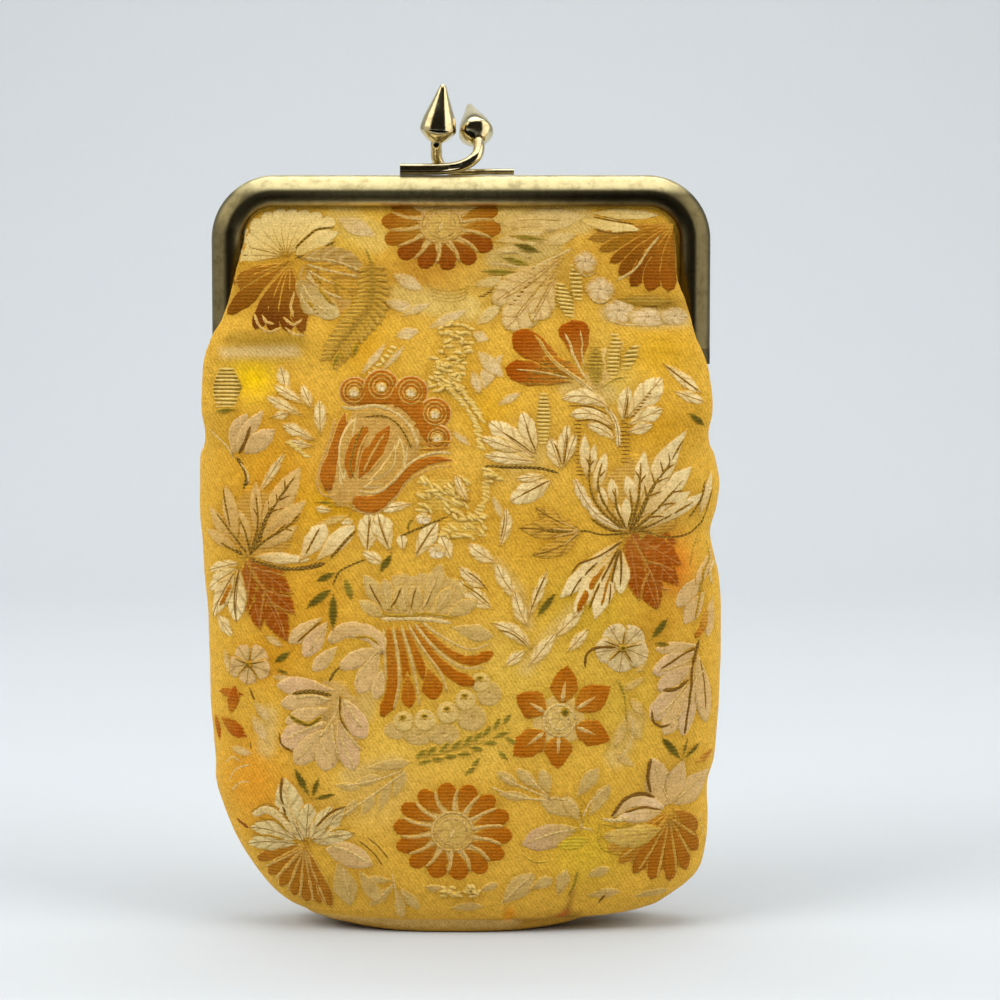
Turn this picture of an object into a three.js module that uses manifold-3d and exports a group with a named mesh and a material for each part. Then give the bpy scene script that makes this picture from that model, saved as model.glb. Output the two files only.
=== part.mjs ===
// Kiss lock coin purse: a brocade pouch of two panels, held in a hinged brass frame that
// closes with two pointed knobs. Millimetres, +Z up, the front faces -Y, and the pouch
// stands on the flattened bottom at z = 0.
import * as THREE from "three";
import { mergeVertices } from "three/addons/utils/BufferGeometryUtils.js";
import Module from "manifold-3d";

const wasm = await Module();
wasm.setup();

// Driving dimensions
const CLOTH = 1.2; // brocade with its backing
const GAP = 0.3; // between pieces that touch
const SEAM_Y = GAP / 2; // each panel stops this far from the seam's plane

const FRAME = {
  halfWidth: 39,
  top: 118.7,
  legEnd: 89.3,
  corner: 10,
  band: 4.9, // the channel's size across, as seen from the front
  depth: 5.2, // from the closing plane to the crown of the channel
  arcSteps: 6,
};
const SLOT_Y = 2.7; // the cloth's middle in the channel, from the closing plane
const INNER_HALF = FRAME.halfWidth - FRAME.band;

const HINGE = { z: 86.3, earRadius: 2.4, earThick: 0.9, pin: 1.0, hole: 1.3, headRadius: 1.9, head: 0.8 };
const EAR_OUTER = { front: 37.6, back: 36.4 }; // outside faces of the ears, one ear beside the other
const END_BLOCK = 2.4; // solid length at the end of each leg, which carries the ear

// The channel's section: p runs inwards from the frame's outer edge, q away from the closing plane.
const CROWN = { p: 2.6, q: 2.6, radius: 2.6 };
const CHANNEL_CAVITY = [
  { p: FRAME.band, q: 3.65 },
  { p: 3.9, q: 3.65 },
  { p: 3.9, q: 4.2 },
  { p: 2.6, q: 4.5 },
  { p: 1.6, q: 4.1 },
  { p: 0.8, q: 2.9 },
  { p: 0.8, q: 1.1 },
  { p: 3.9, q: 1.1 },
  { p: 3.9, q: 1.75 },
  { p: FRAME.band, q: 1.75 },
];

// The levels of a panel: the outline that shows on the left and on the right (it swells over
// the legs of the frame), the half depth at the middle, the cloth's edge inside the frame,
// and how far the side seam has closed.
const LEVELS = [
  { z: 116.4, left: 28.6, right: 28.6, depth: 3.3, edge: 29.0, seam: 0 },
  { z: 114.4, left: 29.9, right: 29.9, depth: 3.3, edge: 33.6, seam: 0 },
  { z: 113.2, left: 31.0, right: 31.0, depth: 3.7, edge: 34.8, seam: 0 },
  { z: 111.4, left: 33.0, right: 32.6, depth: 4.8, edge: 36.0, seam: 0 },
  { z: 108.5, left: 34.2, right: 33.2, depth: 6.1, edge: 36.8, seam: 0 },
  { z: 104.5, left: 34.9, right: 33.8, depth: 7.5, edge: 36.8, seam: 0 },
  { z: 100.0, left: 36.0, right: 34.8, depth: 8.7, edge: 36.8, seam: 0 },
  { z: 96.4, left: 37.1, right: 35.9, depth: 9.4, edge: 36.7, seam: 0 },
  { z: 93.6, left: 38.8, right: 36.7, depth: 9.9, edge: 36.5, seam: 0 },
  { z: 91.6, left: 39.5, right: 37.6, depth: 10.2, edge: 33.5, seam: 0 },
  { z: 88.6, left: 40.2, right: 38.7, depth: 10.6, edge: 33.5, seam: 0 },
  { z: 84.0, left: 40.4, right: 39.3, depth: 11.1, edge: 33.5, seam: 0 },
  { z: 81.2, left: 40.7, right: 39.6, depth: 11.4, edge: 33.5, seam: 0.25 },
  { z: 78.4, left: 41.0, right: 39.7, depth: 11.7, edge: 33.5, seam: 0.7 },
  { z: 75.2, left: 41.2, right: 40.0, depth: 11.9, edge: 33.5, seam: 1 },
  { z: 70.5, left: 41.3, right: 40.8, depth: 12.2, edge: 33.5, seam: 1 },
  { z: 66.5, left: 41.3, right: 40.3, depth: 12.4, edge: 33.5, seam: 1 },
  { z: 63.0, left: 41.1, right: 39.3, depth: 12.6, edge: 33.5, seam: 1 },
  { z: 59.5, left: 40.9, right: 40.0, depth: 12.8, edge: 33.5, seam: 1 },
  { z: 56.0, left: 40.7, right: 40.9, depth: 12.9, edge: 33.5, seam: 1 },
  { z: 48.0, left: 40.2, right: 41.3, depth: 13.2, edge: 33.5, seam: 1 },
  { z: 39.0, left: 40.0, right: 41.1, depth: 13.2, edge: 33.5, seam: 1 },
  { z: 30.0, left: 39.5, right: 40.6, depth: 13.0, edge: 33.5, seam: 1 },
  { z: 26.2, left: 39.2, right: 40.1, depth: 12.9, edge: 33.5, seam: 1 },
  { z: 23.2, left: 39.2, right: 39.3, depth: 12.7, edge: 33.5, seam: 1 },
  { z: 17.5, left: 37.4, right: 39.3, depth: 12.2, edge: 33.5, seam: 1 },
  { z: 12.5, left: 35.1, right: 38.9, depth: 11.6, edge: 33.5, seam: 1 },
  { z: 8.0, left: 32.1, right: 37.3, depth: 10.9, edge: 33.5, seam: 1 },
  { z: 4.6, left: 28.8, right: 33.0, depth: 9.9, edge: 33.5, seam: 1 },
  { z: 2.7, left: 25.2, right: 28.6, depth: 9.1, edge: 33.5, seam: 1 },
  { z: 2.2, left: 24.1, right: 22.5, depth: 8.9, edge: 33.5, seam: 1 },
  { z: 0.7, left: 18.9, right: 17.5, depth: 8.0, edge: 33.5, seam: 1 },
  { z: 0.0, left: 15.0, right: 13.5, depth: 7.2, edge: 33.5, seam: 1 },
];
const LEVEL_STEP = 5; // levels further apart than this are divided

// Folds: the middle of the fold, its heading from +X towards +Z in degrees, its length, its
// breadth and how deep it goes (a negative depth is a swelling).
const FRONT_FOLDS = [
  { x: 33.0, z: 63.0, heading: 10, length: 12, breadth: 4.4, depth: 1.3 },
  { x: 36.0, z: 49.0, heading: 84, length: 20, breadth: 4.6, depth: 1.1 },
  { x: 32.5, z: 24.0, heading: 24, length: 12, breadth: 4.4, depth: 1.0 },
  { x: 19.0, z: 6.0, heading: 64, length: 12, breadth: 4.6, depth: 1.2 },
  { x: 26.0, z: 9.0, heading: 52, length: 10, breadth: 4.2, depth: 0.8 },
  { x: -24.0, z: 8.0, heading: -50, length: 12, breadth: 4.6, depth: 0.7 },
  { x: -32.0, z: 93.0, heading: 4, length: 18, breadth: 5.5, depth: -0.9 },
  { x: -30.0, z: 87.5, heading: 8, length: 18, breadth: 5.0, depth: 0.7 },
  { x: -27.0, z: 102.0, heading: -52, length: 16, breadth: 5.0, depth: 0.7 },
  { x: 27.0, z: 100.0, heading: 54, length: 20, breadth: 5.0, depth: 0.8 },
  { x: 33.0, z: 89.0, heading: -12, length: 14, breadth: 5.0, depth: 0.6 },
  { x: -5.0, z: 106.0, heading: 86, length: 14, breadth: 9.0, depth: 0.5 },
];
const BACK_FOLDS = [
  { x: -28.0, z: 99.0, heading: -50, length: 18, breadth: 5.0, depth: 0.8 },
  { x: 28.0, z: 99.0, heading: 50, length: 18, breadth: 5.0, depth: 0.8 },
  { x: 35.0, z: 60.0, heading: 14, length: 12, breadth: 4.6, depth: 0.9 },
  { x: 19.0, z: 7.0, heading: 62, length: 12, breadth: 4.6, depth: 1.0 },
  { x: -18.0, z: 7.0, heading: -60, length: 12, breadth: 4.6, depth: 0.9 },
];

const ROUND_SECTION = 2.5; // power of the level sections in the body of the pouch
const FLAT_SECTION = 3.1; // and just below the frame, where the frame spreads the cloth
const SIDE_PLACES = [1, 0.999, 0.994, 0.9825, 0.961]; // of the half width, from the seam inwards
const FRONT_POINTS = 17;
const THROAT = INNER_HALF - GAP - 0.1; // where the cloth comes out of a leg's channel
const LOBE_TIP_Y = 6.7; // the swelling's edge over a leg, from the closing plane
const LOBE_UNDER_Y = FRAME.depth + GAP + 0.2; // the swelling's underside clears the leg
// How the cloth leaves a leg's channel: millimetres inwards for the inside, a share of the way
// to the outline for the outside, and a share of the level's depth.
const INSIDE_RUN = [
  { inwards: 0.1, rise: 0 },
  { inwards: 0.5, rise: 0.08 },
  { inwards: 1.0, rise: 0.22 },
  { inwards: 1.6, rise: 0.4 },
];
const OUTSIDE_RUN = [
  { inwards: 0.4, rise: 0.06 },
  { inwards: 0.75, rise: 0.2 },
  { inwards: 1, rise: 0.45 },
];

// The kiss lock. Each clasp is a strip on top of its own half of the frame that bends up into
// a stem, with a pointed knob that leans over to the other half.
const ARM = { wide: 2.6, stem: 0.9, steps: 18, sides: 10 };
const ARM_FOOT = FRAME.top + GAP; // the strips' underside
// The route of each strip starts along the top of its half and turns up in a bend.
const FRONT_CLASP = {
  facing: -1,
  thick: 1.5,
  route: [
    new THREE.Vector3(-9.5, -2.2, ARM_FOOT + 0.75),
    new THREE.Vector3(-5.5, -2.2, ARM_FOOT + 0.75),
    new THREE.Vector3(-1.8, -2.2, ARM_FOOT + 0.85),
    new THREE.Vector3(0.6, -2.1, ARM_FOOT + 1.45),
    new THREE.Vector3(2.3, -1.6, ARM_FOOT + 2.6),
    new THREE.Vector3(2.8, -0.7, ARM_FOOT + 4.0),
  ],
  knob: {
    base: new THREE.Vector3(2.65, 0.4, 124.3),
    axis: new THREE.Vector3(-0.17, 0.69, 0.7).normalize(),
    size: 0.95,
  },
};
const BACK_CLASP = {
  facing: 1,
  thick: 1.0,
  route: [
    new THREE.Vector3(8.3, 2.2, ARM_FOOT + 0.5),
    new THREE.Vector3(4.0, 2.2, ARM_FOOT + 0.5),
    new THREE.Vector3(-0.5, 2.2, ARM_FOOT + 0.5),
    new THREE.Vector3(-2.9, 1.9, ARM_FOOT + 1.1),
    new THREE.Vector3(-3.8, 1.3, ARM_FOOT + 2.4),
    new THREE.Vector3(-3.9, 0.6, ARM_FOOT + 3.8),
  ],
  knob: {
    base: new THREE.Vector3(-3.85, 0, 124),
    axis: new THREE.Vector3(0.12, -0.08, 1).normalize(),
    size: 1,
  },
};
const STEM_IN_KNOB = 0.6;
// The knob's turned outline: a is the distance along its axis from its base, r the radius. Each
// clasp multiplies it by its knob's size.
const KNOB_OUTLINE = [
  { r: 0, a: 0 },
  { r: 1.2, a: 0 },
  { r: 1.5, a: 0.25 },
  { r: 2.0, a: 0.65 },
  { r: 2.6, a: 1.3 },
  { r: 2.85, a: 1.8 },
  { r: 2.8, a: 2.1 },
  { r: 2.35, a: 3.5 },
  { r: 1.75, a: 5.2 },
  { r: 1.05, a: 7.0 },
  { r: 0.6, a: 8.4 },
  { r: 0.3, a: 8.95 },
  { r: 0, a: 9.1 },
];
const KNOB_SIDES = 16;
const RIVET_SIDES = 14;

const brass = new THREE.MeshStandardMaterial({ color: 0x9c8a57, roughness: 0.34, metalness: 1 });
const polishedBrass = new THREE.MeshStandardMaterial({ color: 0xb4a268, roughness: 0.24, metalness: 1 });
const brocade = new THREE.MeshStandardMaterial({ color: 0xd9a638, roughness: 0.75, metalness: 0 });

// Small helpers

const mix = (a, b, t) => a + (b - a) * t;

function smooth(low, high, value) {
  const t = Math.min(1, Math.max(0, (value - low) / (high - low)));
  return t * t * (3 - 2 * t);
}

// A closed geometry from vertices and triangles, with its faces turned outwards.
function closedGeometry(vertices, triangles) {
  let volume = 0;
  for (const [a, b, c] of triangles) {
    volume += vertices[a].dot(vertices[b].clone().cross(vertices[c]));
  }
  const turned = volume < 0 ? triangles.map(([a, b, c]) => [a, c, b]) : triangles;
  const geometry = new THREE.BufferGeometry().setFromPoints(vertices);
  geometry.setIndex(turned.flat());
  geometry.computeVertexNormals();
  return geometry;
}

// The skin that joins rings of points in order, open at both ends.
function loftRings(rings) {
  const around = rings[0].length;
  const vertices = rings.flat();
  const triangles = [];
  for (let i = 0; i + 1 < rings.length; i += 1) {
    for (let j = 0; j < around; j += 1) {
      const k = (j + 1) % around;
      const [a, b, c, d] = [i * around + j, i * around + k, (i + 1) * around + k, (i + 1) * around + j];
      triangles.push([a, b, c], [a, c, d]);
    }
  }
  return { vertices, triangles, around };
}

// A solid that carries an outline along its stations, with flat ends.
function sweep(outline, stations) {
  const rings = stations.map((place) => outline.map((point) => place(point)));
  const { vertices, triangles, around } = loftRings(rings);
  const flat = outline.map(({ p, q }) => new THREE.Vector2(p, q));
  const last = (rings.length - 1) * around;
  for (const face of THREE.ShapeUtils.triangulateShape(flat, [])) {
    triangles.push(face, face.map((i) => i + last));
  }
  return closedGeometry(vertices, matchEnds(triangles));
}

// Turns the end faces so that each edge is used once in each direction.
function matchEnds(triangles) {
  const used = new Set();
  const made = [];
  for (const [a, b, c] of triangles) {
    const clash = [[a, b], [b, c], [c, a]].some(([i, j]) => used.has(`${i},${j}`));
    const face = clash ? [a, c, b] : [a, b, c];
    face.forEach((i, n) => used.add(`${i},${face[(n + 1) % 3]}`));
    made.push(face);
  }
  return made;
}

function solidOf(geometry) {
  const bare = geometry.clone();
  bare.deleteAttribute("normal");
  bare.deleteAttribute("uv");
  const merged = mergeVertices(bare, 1e-4);
  const index = Array.from(merged.index.array);
  const whole = [];
  for (let i = 0; i < index.length; i += 3) {
    const face = index.slice(i, i + 3);
    if (new Set(face).size === 3) whole.push(...face);
  }
  return new wasm.Manifold(
    new wasm.Mesh({
      numProp: 3,
      vertProperties: merged.attributes.position.array,
      triVerts: new Uint32Array(whole),
    }),
  );
}

function geometryOf(solid) {
  const mesh = solid.getMesh();
  const geometry = new THREE.BufferGeometry();
  geometry.setAttribute("position", new THREE.BufferAttribute(mesh.vertProperties, 3));
  geometry.setIndex(new THREE.BufferAttribute(mesh.triVerts, 1));
  geometry.computeVertexNormals();
  return geometry;
}

function named(name, geometry, material) {
  const mesh = new THREE.Mesh(geometry, material);
  mesh.name = name;
  return mesh;
}

// The pouch

// How far the folds push a point of the panel inwards.
function foldDepth(folds, x, z) {
  let total = 0;
  for (const fold of folds) {
    const turn = THREE.MathUtils.degToRad(fold.heading);
    const along = (x - fold.x) * Math.cos(turn) + (z - fold.z) * Math.sin(turn);
    const across = (z - fold.z) * Math.cos(turn) - (x - fold.x) * Math.sin(turn);
    const far = ((2 * along) / fold.length) ** 2 + ((2 * across) / fold.breadth) ** 2;
    total += fold.depth * Math.exp(-far);
  }
  return total;
}

// Levels between those of the table, on a smooth curve through each column.
function dividedLevels() {
  const columns = Object.keys(LEVELS[0]);
  const slope = (i, column) => {
    const [above, below] = [LEVELS[Math.max(0, i - 1)], LEVELS[Math.min(LEVELS.length - 1, i + 1)]];
    return (below[column] - above[column]) / (below.z - above.z);
  };
  return LEVELS.flatMap((level, i) => {
    const next = LEVELS[i + 1];
    if (!next) return [level];
    const drop = next.z - level.z;
    const pieces = Math.ceil(-drop / LEVEL_STEP);
    return Array.from({ length: pieces }, (_, n) => {
      const t = n / pieces;
      const between = {};
      for (const column of columns) {
        const leaving = slope(i, column) * t * (1 - t) ** 2;
        const arriving = slope(i + 1, column) * t ** 2 * (1 - t);
        between[column] = mix(level[column], next[column], smooth(0, 1, t)) + drop * (leaving - arriving);
      }
      return between;
    });
  });
}

// Places of the front points across a panel, from 1 on the left to -1 on the right, closer
// together towards the sides.
const FRONT_SPREAD = Array.from({ length: FRONT_POINTS }, (_, i) => {
  const even = 1 - (2 * (i + 1)) / (FRONT_POINTS + 1);
  return mix(even, Math.sin((even * Math.PI) / 2), 0.5);
});

// How far a level section rises at a place across the panel, from 0 at the sides to 1.
function sectionRise(u, z) {
  const power = mix(ROUND_SECTION, FLAT_SECTION, smooth(52, 80, z));
  return (1 - Math.abs(u) ** power) ** (1 / power);
}

// A level where the side seams are closed, from the left seam to the right one. Depths y are
// counted from the seam's plane.
function closedLevel({ z, left, right, depth }, inset) {
  const centre = (right - left) / 2;
  const half = (left + right) / 2 - inset;
  const across = FRONT_SPREAD.map((u) => u * SIDE_PLACES.at(-1));
  const places = [...SIDE_PLACES, ...across, ...SIDE_PLACES.map((u) => -u).reverse()];
  return places.map((u) => ({
    x: centre - half * u,
    y: Math.max(SEAM_Y, (depth - inset) * sectionRise(u, z)),
  }));
}

// One side of a level inside the frame, from the cloth's edge in the channel to where the
// front begins. The inside runs on from the channel, and the outside comes out past the lip
// and swells over the leg.
function mouthSide(edge, visible, depth, inside) {
  const slot = SLOT_Y + (inside ? -CLOTH / 2 : CLOTH / 2);
  const throat = Math.min(edge - 0.1, THROAT);
  const border = { x: edge, y: slot };
  if (inside) {
    const run = INSIDE_RUN.map(({ inwards, rise }) => ({
      x: throat - inwards,
      y: mix(slot, Math.max(slot, depth), rise),
    }));
    return [border, ...run];
  }
  const free = Math.min(visible, throat - 0.15);
  const over = smooth(THROAT, THROAT + 1.3, visible);
  const swelling = [
    { x: throat, y: LOBE_UNDER_Y },
    { x: visible - 0.9, y: LOBE_UNDER_Y + 0.1 },
    { x: visible, y: LOBE_TIP_Y },
  ];
  const run = OUTSIDE_RUN.map(({ inwards, rise }, i) => ({
    x: mix(mix(throat, free, inwards), swelling[i].x, over),
    y: mix(mix(slot, depth, rise), swelling[i].y, over),
  }));
  return [border, { x: throat, y: slot }, ...run];
}

// A level inside the frame, from the left edge of the cloth to the right one.
function mouthLevel({ z, left, right, depth, edge }, inset) {
  const reach = depth - inset;
  const start = mouthSide(edge, left, reach, inset > 0).map(({ x, y }) => ({ x: -x, y }));
  const end = mouthSide(edge, right, reach, inset > 0).reverse();
  const [from, to] = [start.at(-1), end[0]];
  const front = FRONT_SPREAD.map((u) => {
    const low = mix(to.y, from.y, (u + 1) / 2);
    return { x: mix(to.x, from.x, (u + 1) / 2), y: mix(low, Math.max(reach, low), sectionRise(u, z)) };
  });
  return [...start, ...front, ...end];
}

// A level of a panel with its folds. The inside is lifted off the bottom by the cloth.
function panelLevel(level, inset, folds) {
  const closed = closedLevel(level, inset);
  const mouth = mouthLevel(level, inset);
  const z = level.z + inset * Math.max(0, 1 - level.z / 12);
  return closed.map((point, i) => {
    const x = mix(mouth[i].x, point.x, level.seam);
    const y = mix(mouth[i].y, point.y, level.seam);
    const room = smooth(0.3, 0.75, y / level.depth) * smooth(0, 4, level.z) * smooth(113, 108, level.z);
    return { x, y: Math.max(SEAM_Y, y - foldDepth(folds, x, level.z) * room), z };
  });
}

// A panel is a sheet with an outside and an inside, closed along its border. The outside
// ends on the flattened bottom, where the two panels meet.
function panel(folds, facing) {
  const surface = (inset) => {
    const levels = dividedLevels().map((level) => panelLevel(level, inset, folds));
    const seam = levels.at(-1).map(({ x, z }) => ({ x: x * 0.96, y: SEAM_Y, z }));
    return [...levels, seam].map((level) => level.map(({ x, y, z }) => new THREE.Vector3(x, facing * y, z)));
  };
  const [outside, inside] = [surface(0), surface(CLOTH)];
  const rings = outside.map((level, i) => [...level, ...inside[i].slice().reverse()]);
  const { vertices, triangles, around } = loftRings(rings);
  const half = around / 2;
  for (const level of [0, rings.length - 1]) {
    for (let j = 0; j + 1 < half; j += 1) {
      const [a, b, c, d] = [j, j + 1, around - 2 - j, around - 1 - j].map((i) => level * around + i);
      triangles.push([a, b, c], [a, c, d]);
    }
  }
  return closedGeometry(vertices, matchEnds(triangles));
}

// The frame

function channelOutline() {
  const outline = [
    { p: 0.35, q: GAP },
    { p: 0, q: GAP + 0.35 },
  ];
  for (let i = 0; i <= 5; i += 1) {
    const turn = (i / 5) * (Math.PI / 2);
    outline.push({ p: CROWN.p - CROWN.radius * Math.cos(turn), q: CROWN.q + CROWN.radius * Math.sin(turn) });
  }
  outline.push({ p: 3.8, q: 4.95 }, { p: 4.6, q: 4.5 });
  return outline;
}

// The outer edge of a half frame, from one leg's end over the top to the other, and the
// direction inwards at each place.
function framePath() {
  const { halfWidth, top, legEnd, corner, arcSteps } = FRAME;
  const path = [{ x: halfWidth, z: legEnd, inX: -1, inZ: 0 }];
  for (const side of [1, -1]) {
    for (let i = 0; i <= arcSteps; i += 1) {
      const turn = (side > 0 ? i : arcSteps - i) * (Math.PI / 2 / arcSteps);
      const [c, s] = [Math.cos(turn), Math.sin(turn)];
      path.push({
        x: side * (halfWidth - corner + corner * c),
        z: top - corner + corner * s,
        inX: -side * c,
        inZ: -s,
      });
    }
  }
  path.push({ x: -halfWidth, z: legEnd, inX: 1, inZ: 0 });
  return path;
}

// A plate at a leg's end, pierced for the rivet: side is the leg, outer its outside face.
function hingeEar(side, outer, facing) {
  const high = FRAME.legEnd + END_BLOCK;
  const outline = [
    [GAP + 0.1, high],
    [4.4, high],
    [4.4, FRAME.legEnd],
  ];
  for (let i = 0; i <= 8; i += 1) {
    const turn = -(i / 8) * Math.PI;
    outline.push([HINGE.earRadius * Math.cos(turn), HINGE.z + HINGE.earRadius * Math.sin(turn)]);
  }
  outline.push([GAP + 0.1, FRAME.legEnd]);
  const start = side > 0 ? outer - HINGE.earThick : -outer;
  const ends = [start, start + HINGE.earThick].map((x) => ({ p, q }) => new THREE.Vector3(x, facing * p, q));
  const plate = sweep(outline.map(([p, q]) => ({ p, q })), ends);
  const drill = new THREE.CylinderGeometry(HINGE.hole, HINGE.hole, 4 * HINGE.earThick, 16);
  drill.rotateZ(Math.PI / 2);
  drill.translate(start, 0, HINGE.z);
  return solidOf(plate).subtract(solidOf(drill));
}

// A half frame: the rolled channel with a solid block and a hinge ear at the end of each leg.
function halfFrame(facing, earOuter) {
  const outline = [...channelOutline(), ...CHANNEL_CAVITY, { p: FRAME.band, q: GAP }];
  const stations = framePath().map(({ x, z, inX, inZ }) => ({ p, q }) =>
    new THREE.Vector3(x + inX * p, facing * q, z + inZ * p));
  let solid = solidOf(sweep(outline, stations));
  const blockOutline = [...channelOutline(), { p: FRAME.band, q: 4.2 }, { p: FRAME.band, q: GAP }];
  for (const side of [1, -1]) {
    const ends = [FRAME.legEnd, FRAME.legEnd + END_BLOCK].map((z) => ({ p, q }) =>
      new THREE.Vector3(side * (FRAME.halfWidth - p), facing * q, z));
    solid = solid.add(solidOf(sweep(blockOutline, ends))).add(hingeEar(side, earOuter, facing));
  }
  return geometryOf(solid);
}

// The rivet of one hinge: a pin through both ears with a head at each end.
function hingeRivet(side, earOuter, earInner) {
  const [low, high] = [earInner - HINGE.earThick - GAP, earOuter + GAP];
  const outline = [
    [0, low - HINGE.head],
    [HINGE.headRadius - 0.4, low - HINGE.head],
    [HINGE.headRadius - 0.2, low],
    [HINGE.pin, low],
    [HINGE.pin, high],
    [HINGE.headRadius, high],
    [HINGE.headRadius - 0.4, high + HINGE.head * 0.7],
    [0, high + HINGE.head],
  ].map(([r, a]) => new THREE.Vector2(r, a));
  const rivet = new THREE.LatheGeometry(outline, RIVET_SIDES);
  rivet.rotateZ(-side * (Math.PI / 2));
  rivet.translate(0, 0, HINGE.z);
  return geometryOf(solidOf(rivet));
}

// The kiss lock

// A strip that starts flat on the frame and narrows into a round stem.
function claspArm({ route, knob, facing, thick }) {
  const below = knob.base.clone().addScaledVector(knob.axis, -0.3);
  const end = knob.base.clone().addScaledVector(knob.axis, STEM_IN_KNOB);
  const curve = new THREE.CatmullRomCurve3([...route, below, end]);
  const stations = Array.from({ length: ARM.steps + 1 }, (_, i) => {
    const t = i / ARM.steps;
    const centre = curve.getPointAt(t);
    const ahead = curve.getTangentAt(t);
    const across = new THREE.Vector3(0, facing, 0).addScaledVector(ahead, -facing * ahead.y).normalize();
    const up = ahead.clone().cross(across).normalize();
    const narrow = smooth(0.3, 0.85, t);
    const [halfWide, halfThick] = [mix(ARM.wide / 2, ARM.stem, narrow), mix(thick / 2, ARM.stem, narrow)];
    const squareness = mix(0.45, 1, narrow);
    const spread = (v) => Math.sign(v) * Math.abs(v) ** squareness;
    return ({ p, q }) => {
      const point = centre.clone().addScaledVector(across, halfWide * spread(p));
      return point.addScaledVector(up, halfThick * spread(q));
    };
  });
  const outline = Array.from({ length: ARM.sides }, (_, i) => {
    const turn = ((i + 0.5) / ARM.sides) * 2 * Math.PI;
    return { p: Math.cos(turn), q: Math.sin(turn) };
  });
  return sweep(outline, stations);
}

function claspKnob(knob) {
  const outline = KNOB_OUTLINE.map(({ r, a }) => new THREE.Vector2(r, a).multiplyScalar(knob.size));
  const turned = new THREE.LatheGeometry(outline, KNOB_SIDES);
  turned.applyQuaternion(new THREE.Quaternion().setFromUnitVectors(new THREE.Vector3(0, 1, 0), knob.axis));
  turned.translate(knob.base.x, knob.base.y, knob.base.z);
  return turned;
}

// The strip, the stem and the knob are soldered together.
function clasp(parts) {
  return geometryOf(solidOf(claspArm(parts)).add(solidOf(claspKnob(parts.knob))));
}

const purse = new THREE.Group();
purse.add(
  named("front_panel", panel(FRONT_FOLDS, -1), brocade),
  named("back_panel", panel(BACK_FOLDS, 1), brocade),
  named("front_frame", halfFrame(-1, EAR_OUTER.front), brass),
  named("back_frame", halfFrame(1, EAR_OUTER.back), brass),
  named("right_hinge_rivet", hingeRivet(1, EAR_OUTER.front, EAR_OUTER.back), brass),
  named("left_hinge_rivet", hingeRivet(-1, EAR_OUTER.front, EAR_OUTER.back), brass),
  named("front_clasp", clasp(FRONT_CLASP), polishedBrass),
  named("back_clasp", clasp(BACK_CLASP), polishedBrass),
);

export default purse;
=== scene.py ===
# Looks of the kiss lock coin purse: a pouch of floral brocade in a hinged frame of aged brass.
# Lengths are millimetres until a mesh is made. The front faces -Y and the foot stands on z = 0.
import math
from collections import namedtuple

import bpy
import numpy as np
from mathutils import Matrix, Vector


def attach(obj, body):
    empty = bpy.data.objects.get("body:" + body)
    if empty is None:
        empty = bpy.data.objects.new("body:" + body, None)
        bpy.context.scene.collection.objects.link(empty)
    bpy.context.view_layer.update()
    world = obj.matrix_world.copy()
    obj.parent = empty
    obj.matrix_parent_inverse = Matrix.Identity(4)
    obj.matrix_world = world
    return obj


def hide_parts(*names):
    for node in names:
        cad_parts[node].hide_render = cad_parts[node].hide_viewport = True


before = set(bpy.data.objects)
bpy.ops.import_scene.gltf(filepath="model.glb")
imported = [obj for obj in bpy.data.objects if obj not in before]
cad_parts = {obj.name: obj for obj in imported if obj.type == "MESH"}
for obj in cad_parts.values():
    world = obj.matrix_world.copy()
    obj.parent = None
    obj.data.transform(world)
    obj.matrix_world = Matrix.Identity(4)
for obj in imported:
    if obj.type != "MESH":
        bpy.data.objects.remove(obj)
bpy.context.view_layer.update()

MM = 0.001

# Driving dimensions, the same as in the solids
CLOTH = 1.2
GAP = 0.3
FRAME_HALF = 39.0
FRAME_TOP = 118.7
LEG_END = 89.3
CORNER = 10.0
BAND = 4.9
SLOT_Y = 2.7
END_BLOCK = 2.4
INNER_HALF = FRAME_HALF - BAND
HINGE_Z = 86.3
EAR_RADIUS = 2.4
EAR_THICK = 0.9
EAR_HOLE = 1.3
EAR_NOTCH = 2.57
EAR_REACH = 4.4
EAR_OUTER = {"front": 37.6, "back": 36.4}
PIN_RADIUS = 1.0
RIVET_RADIUS = 1.9
RIVET_HEAD = 0.8

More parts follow.
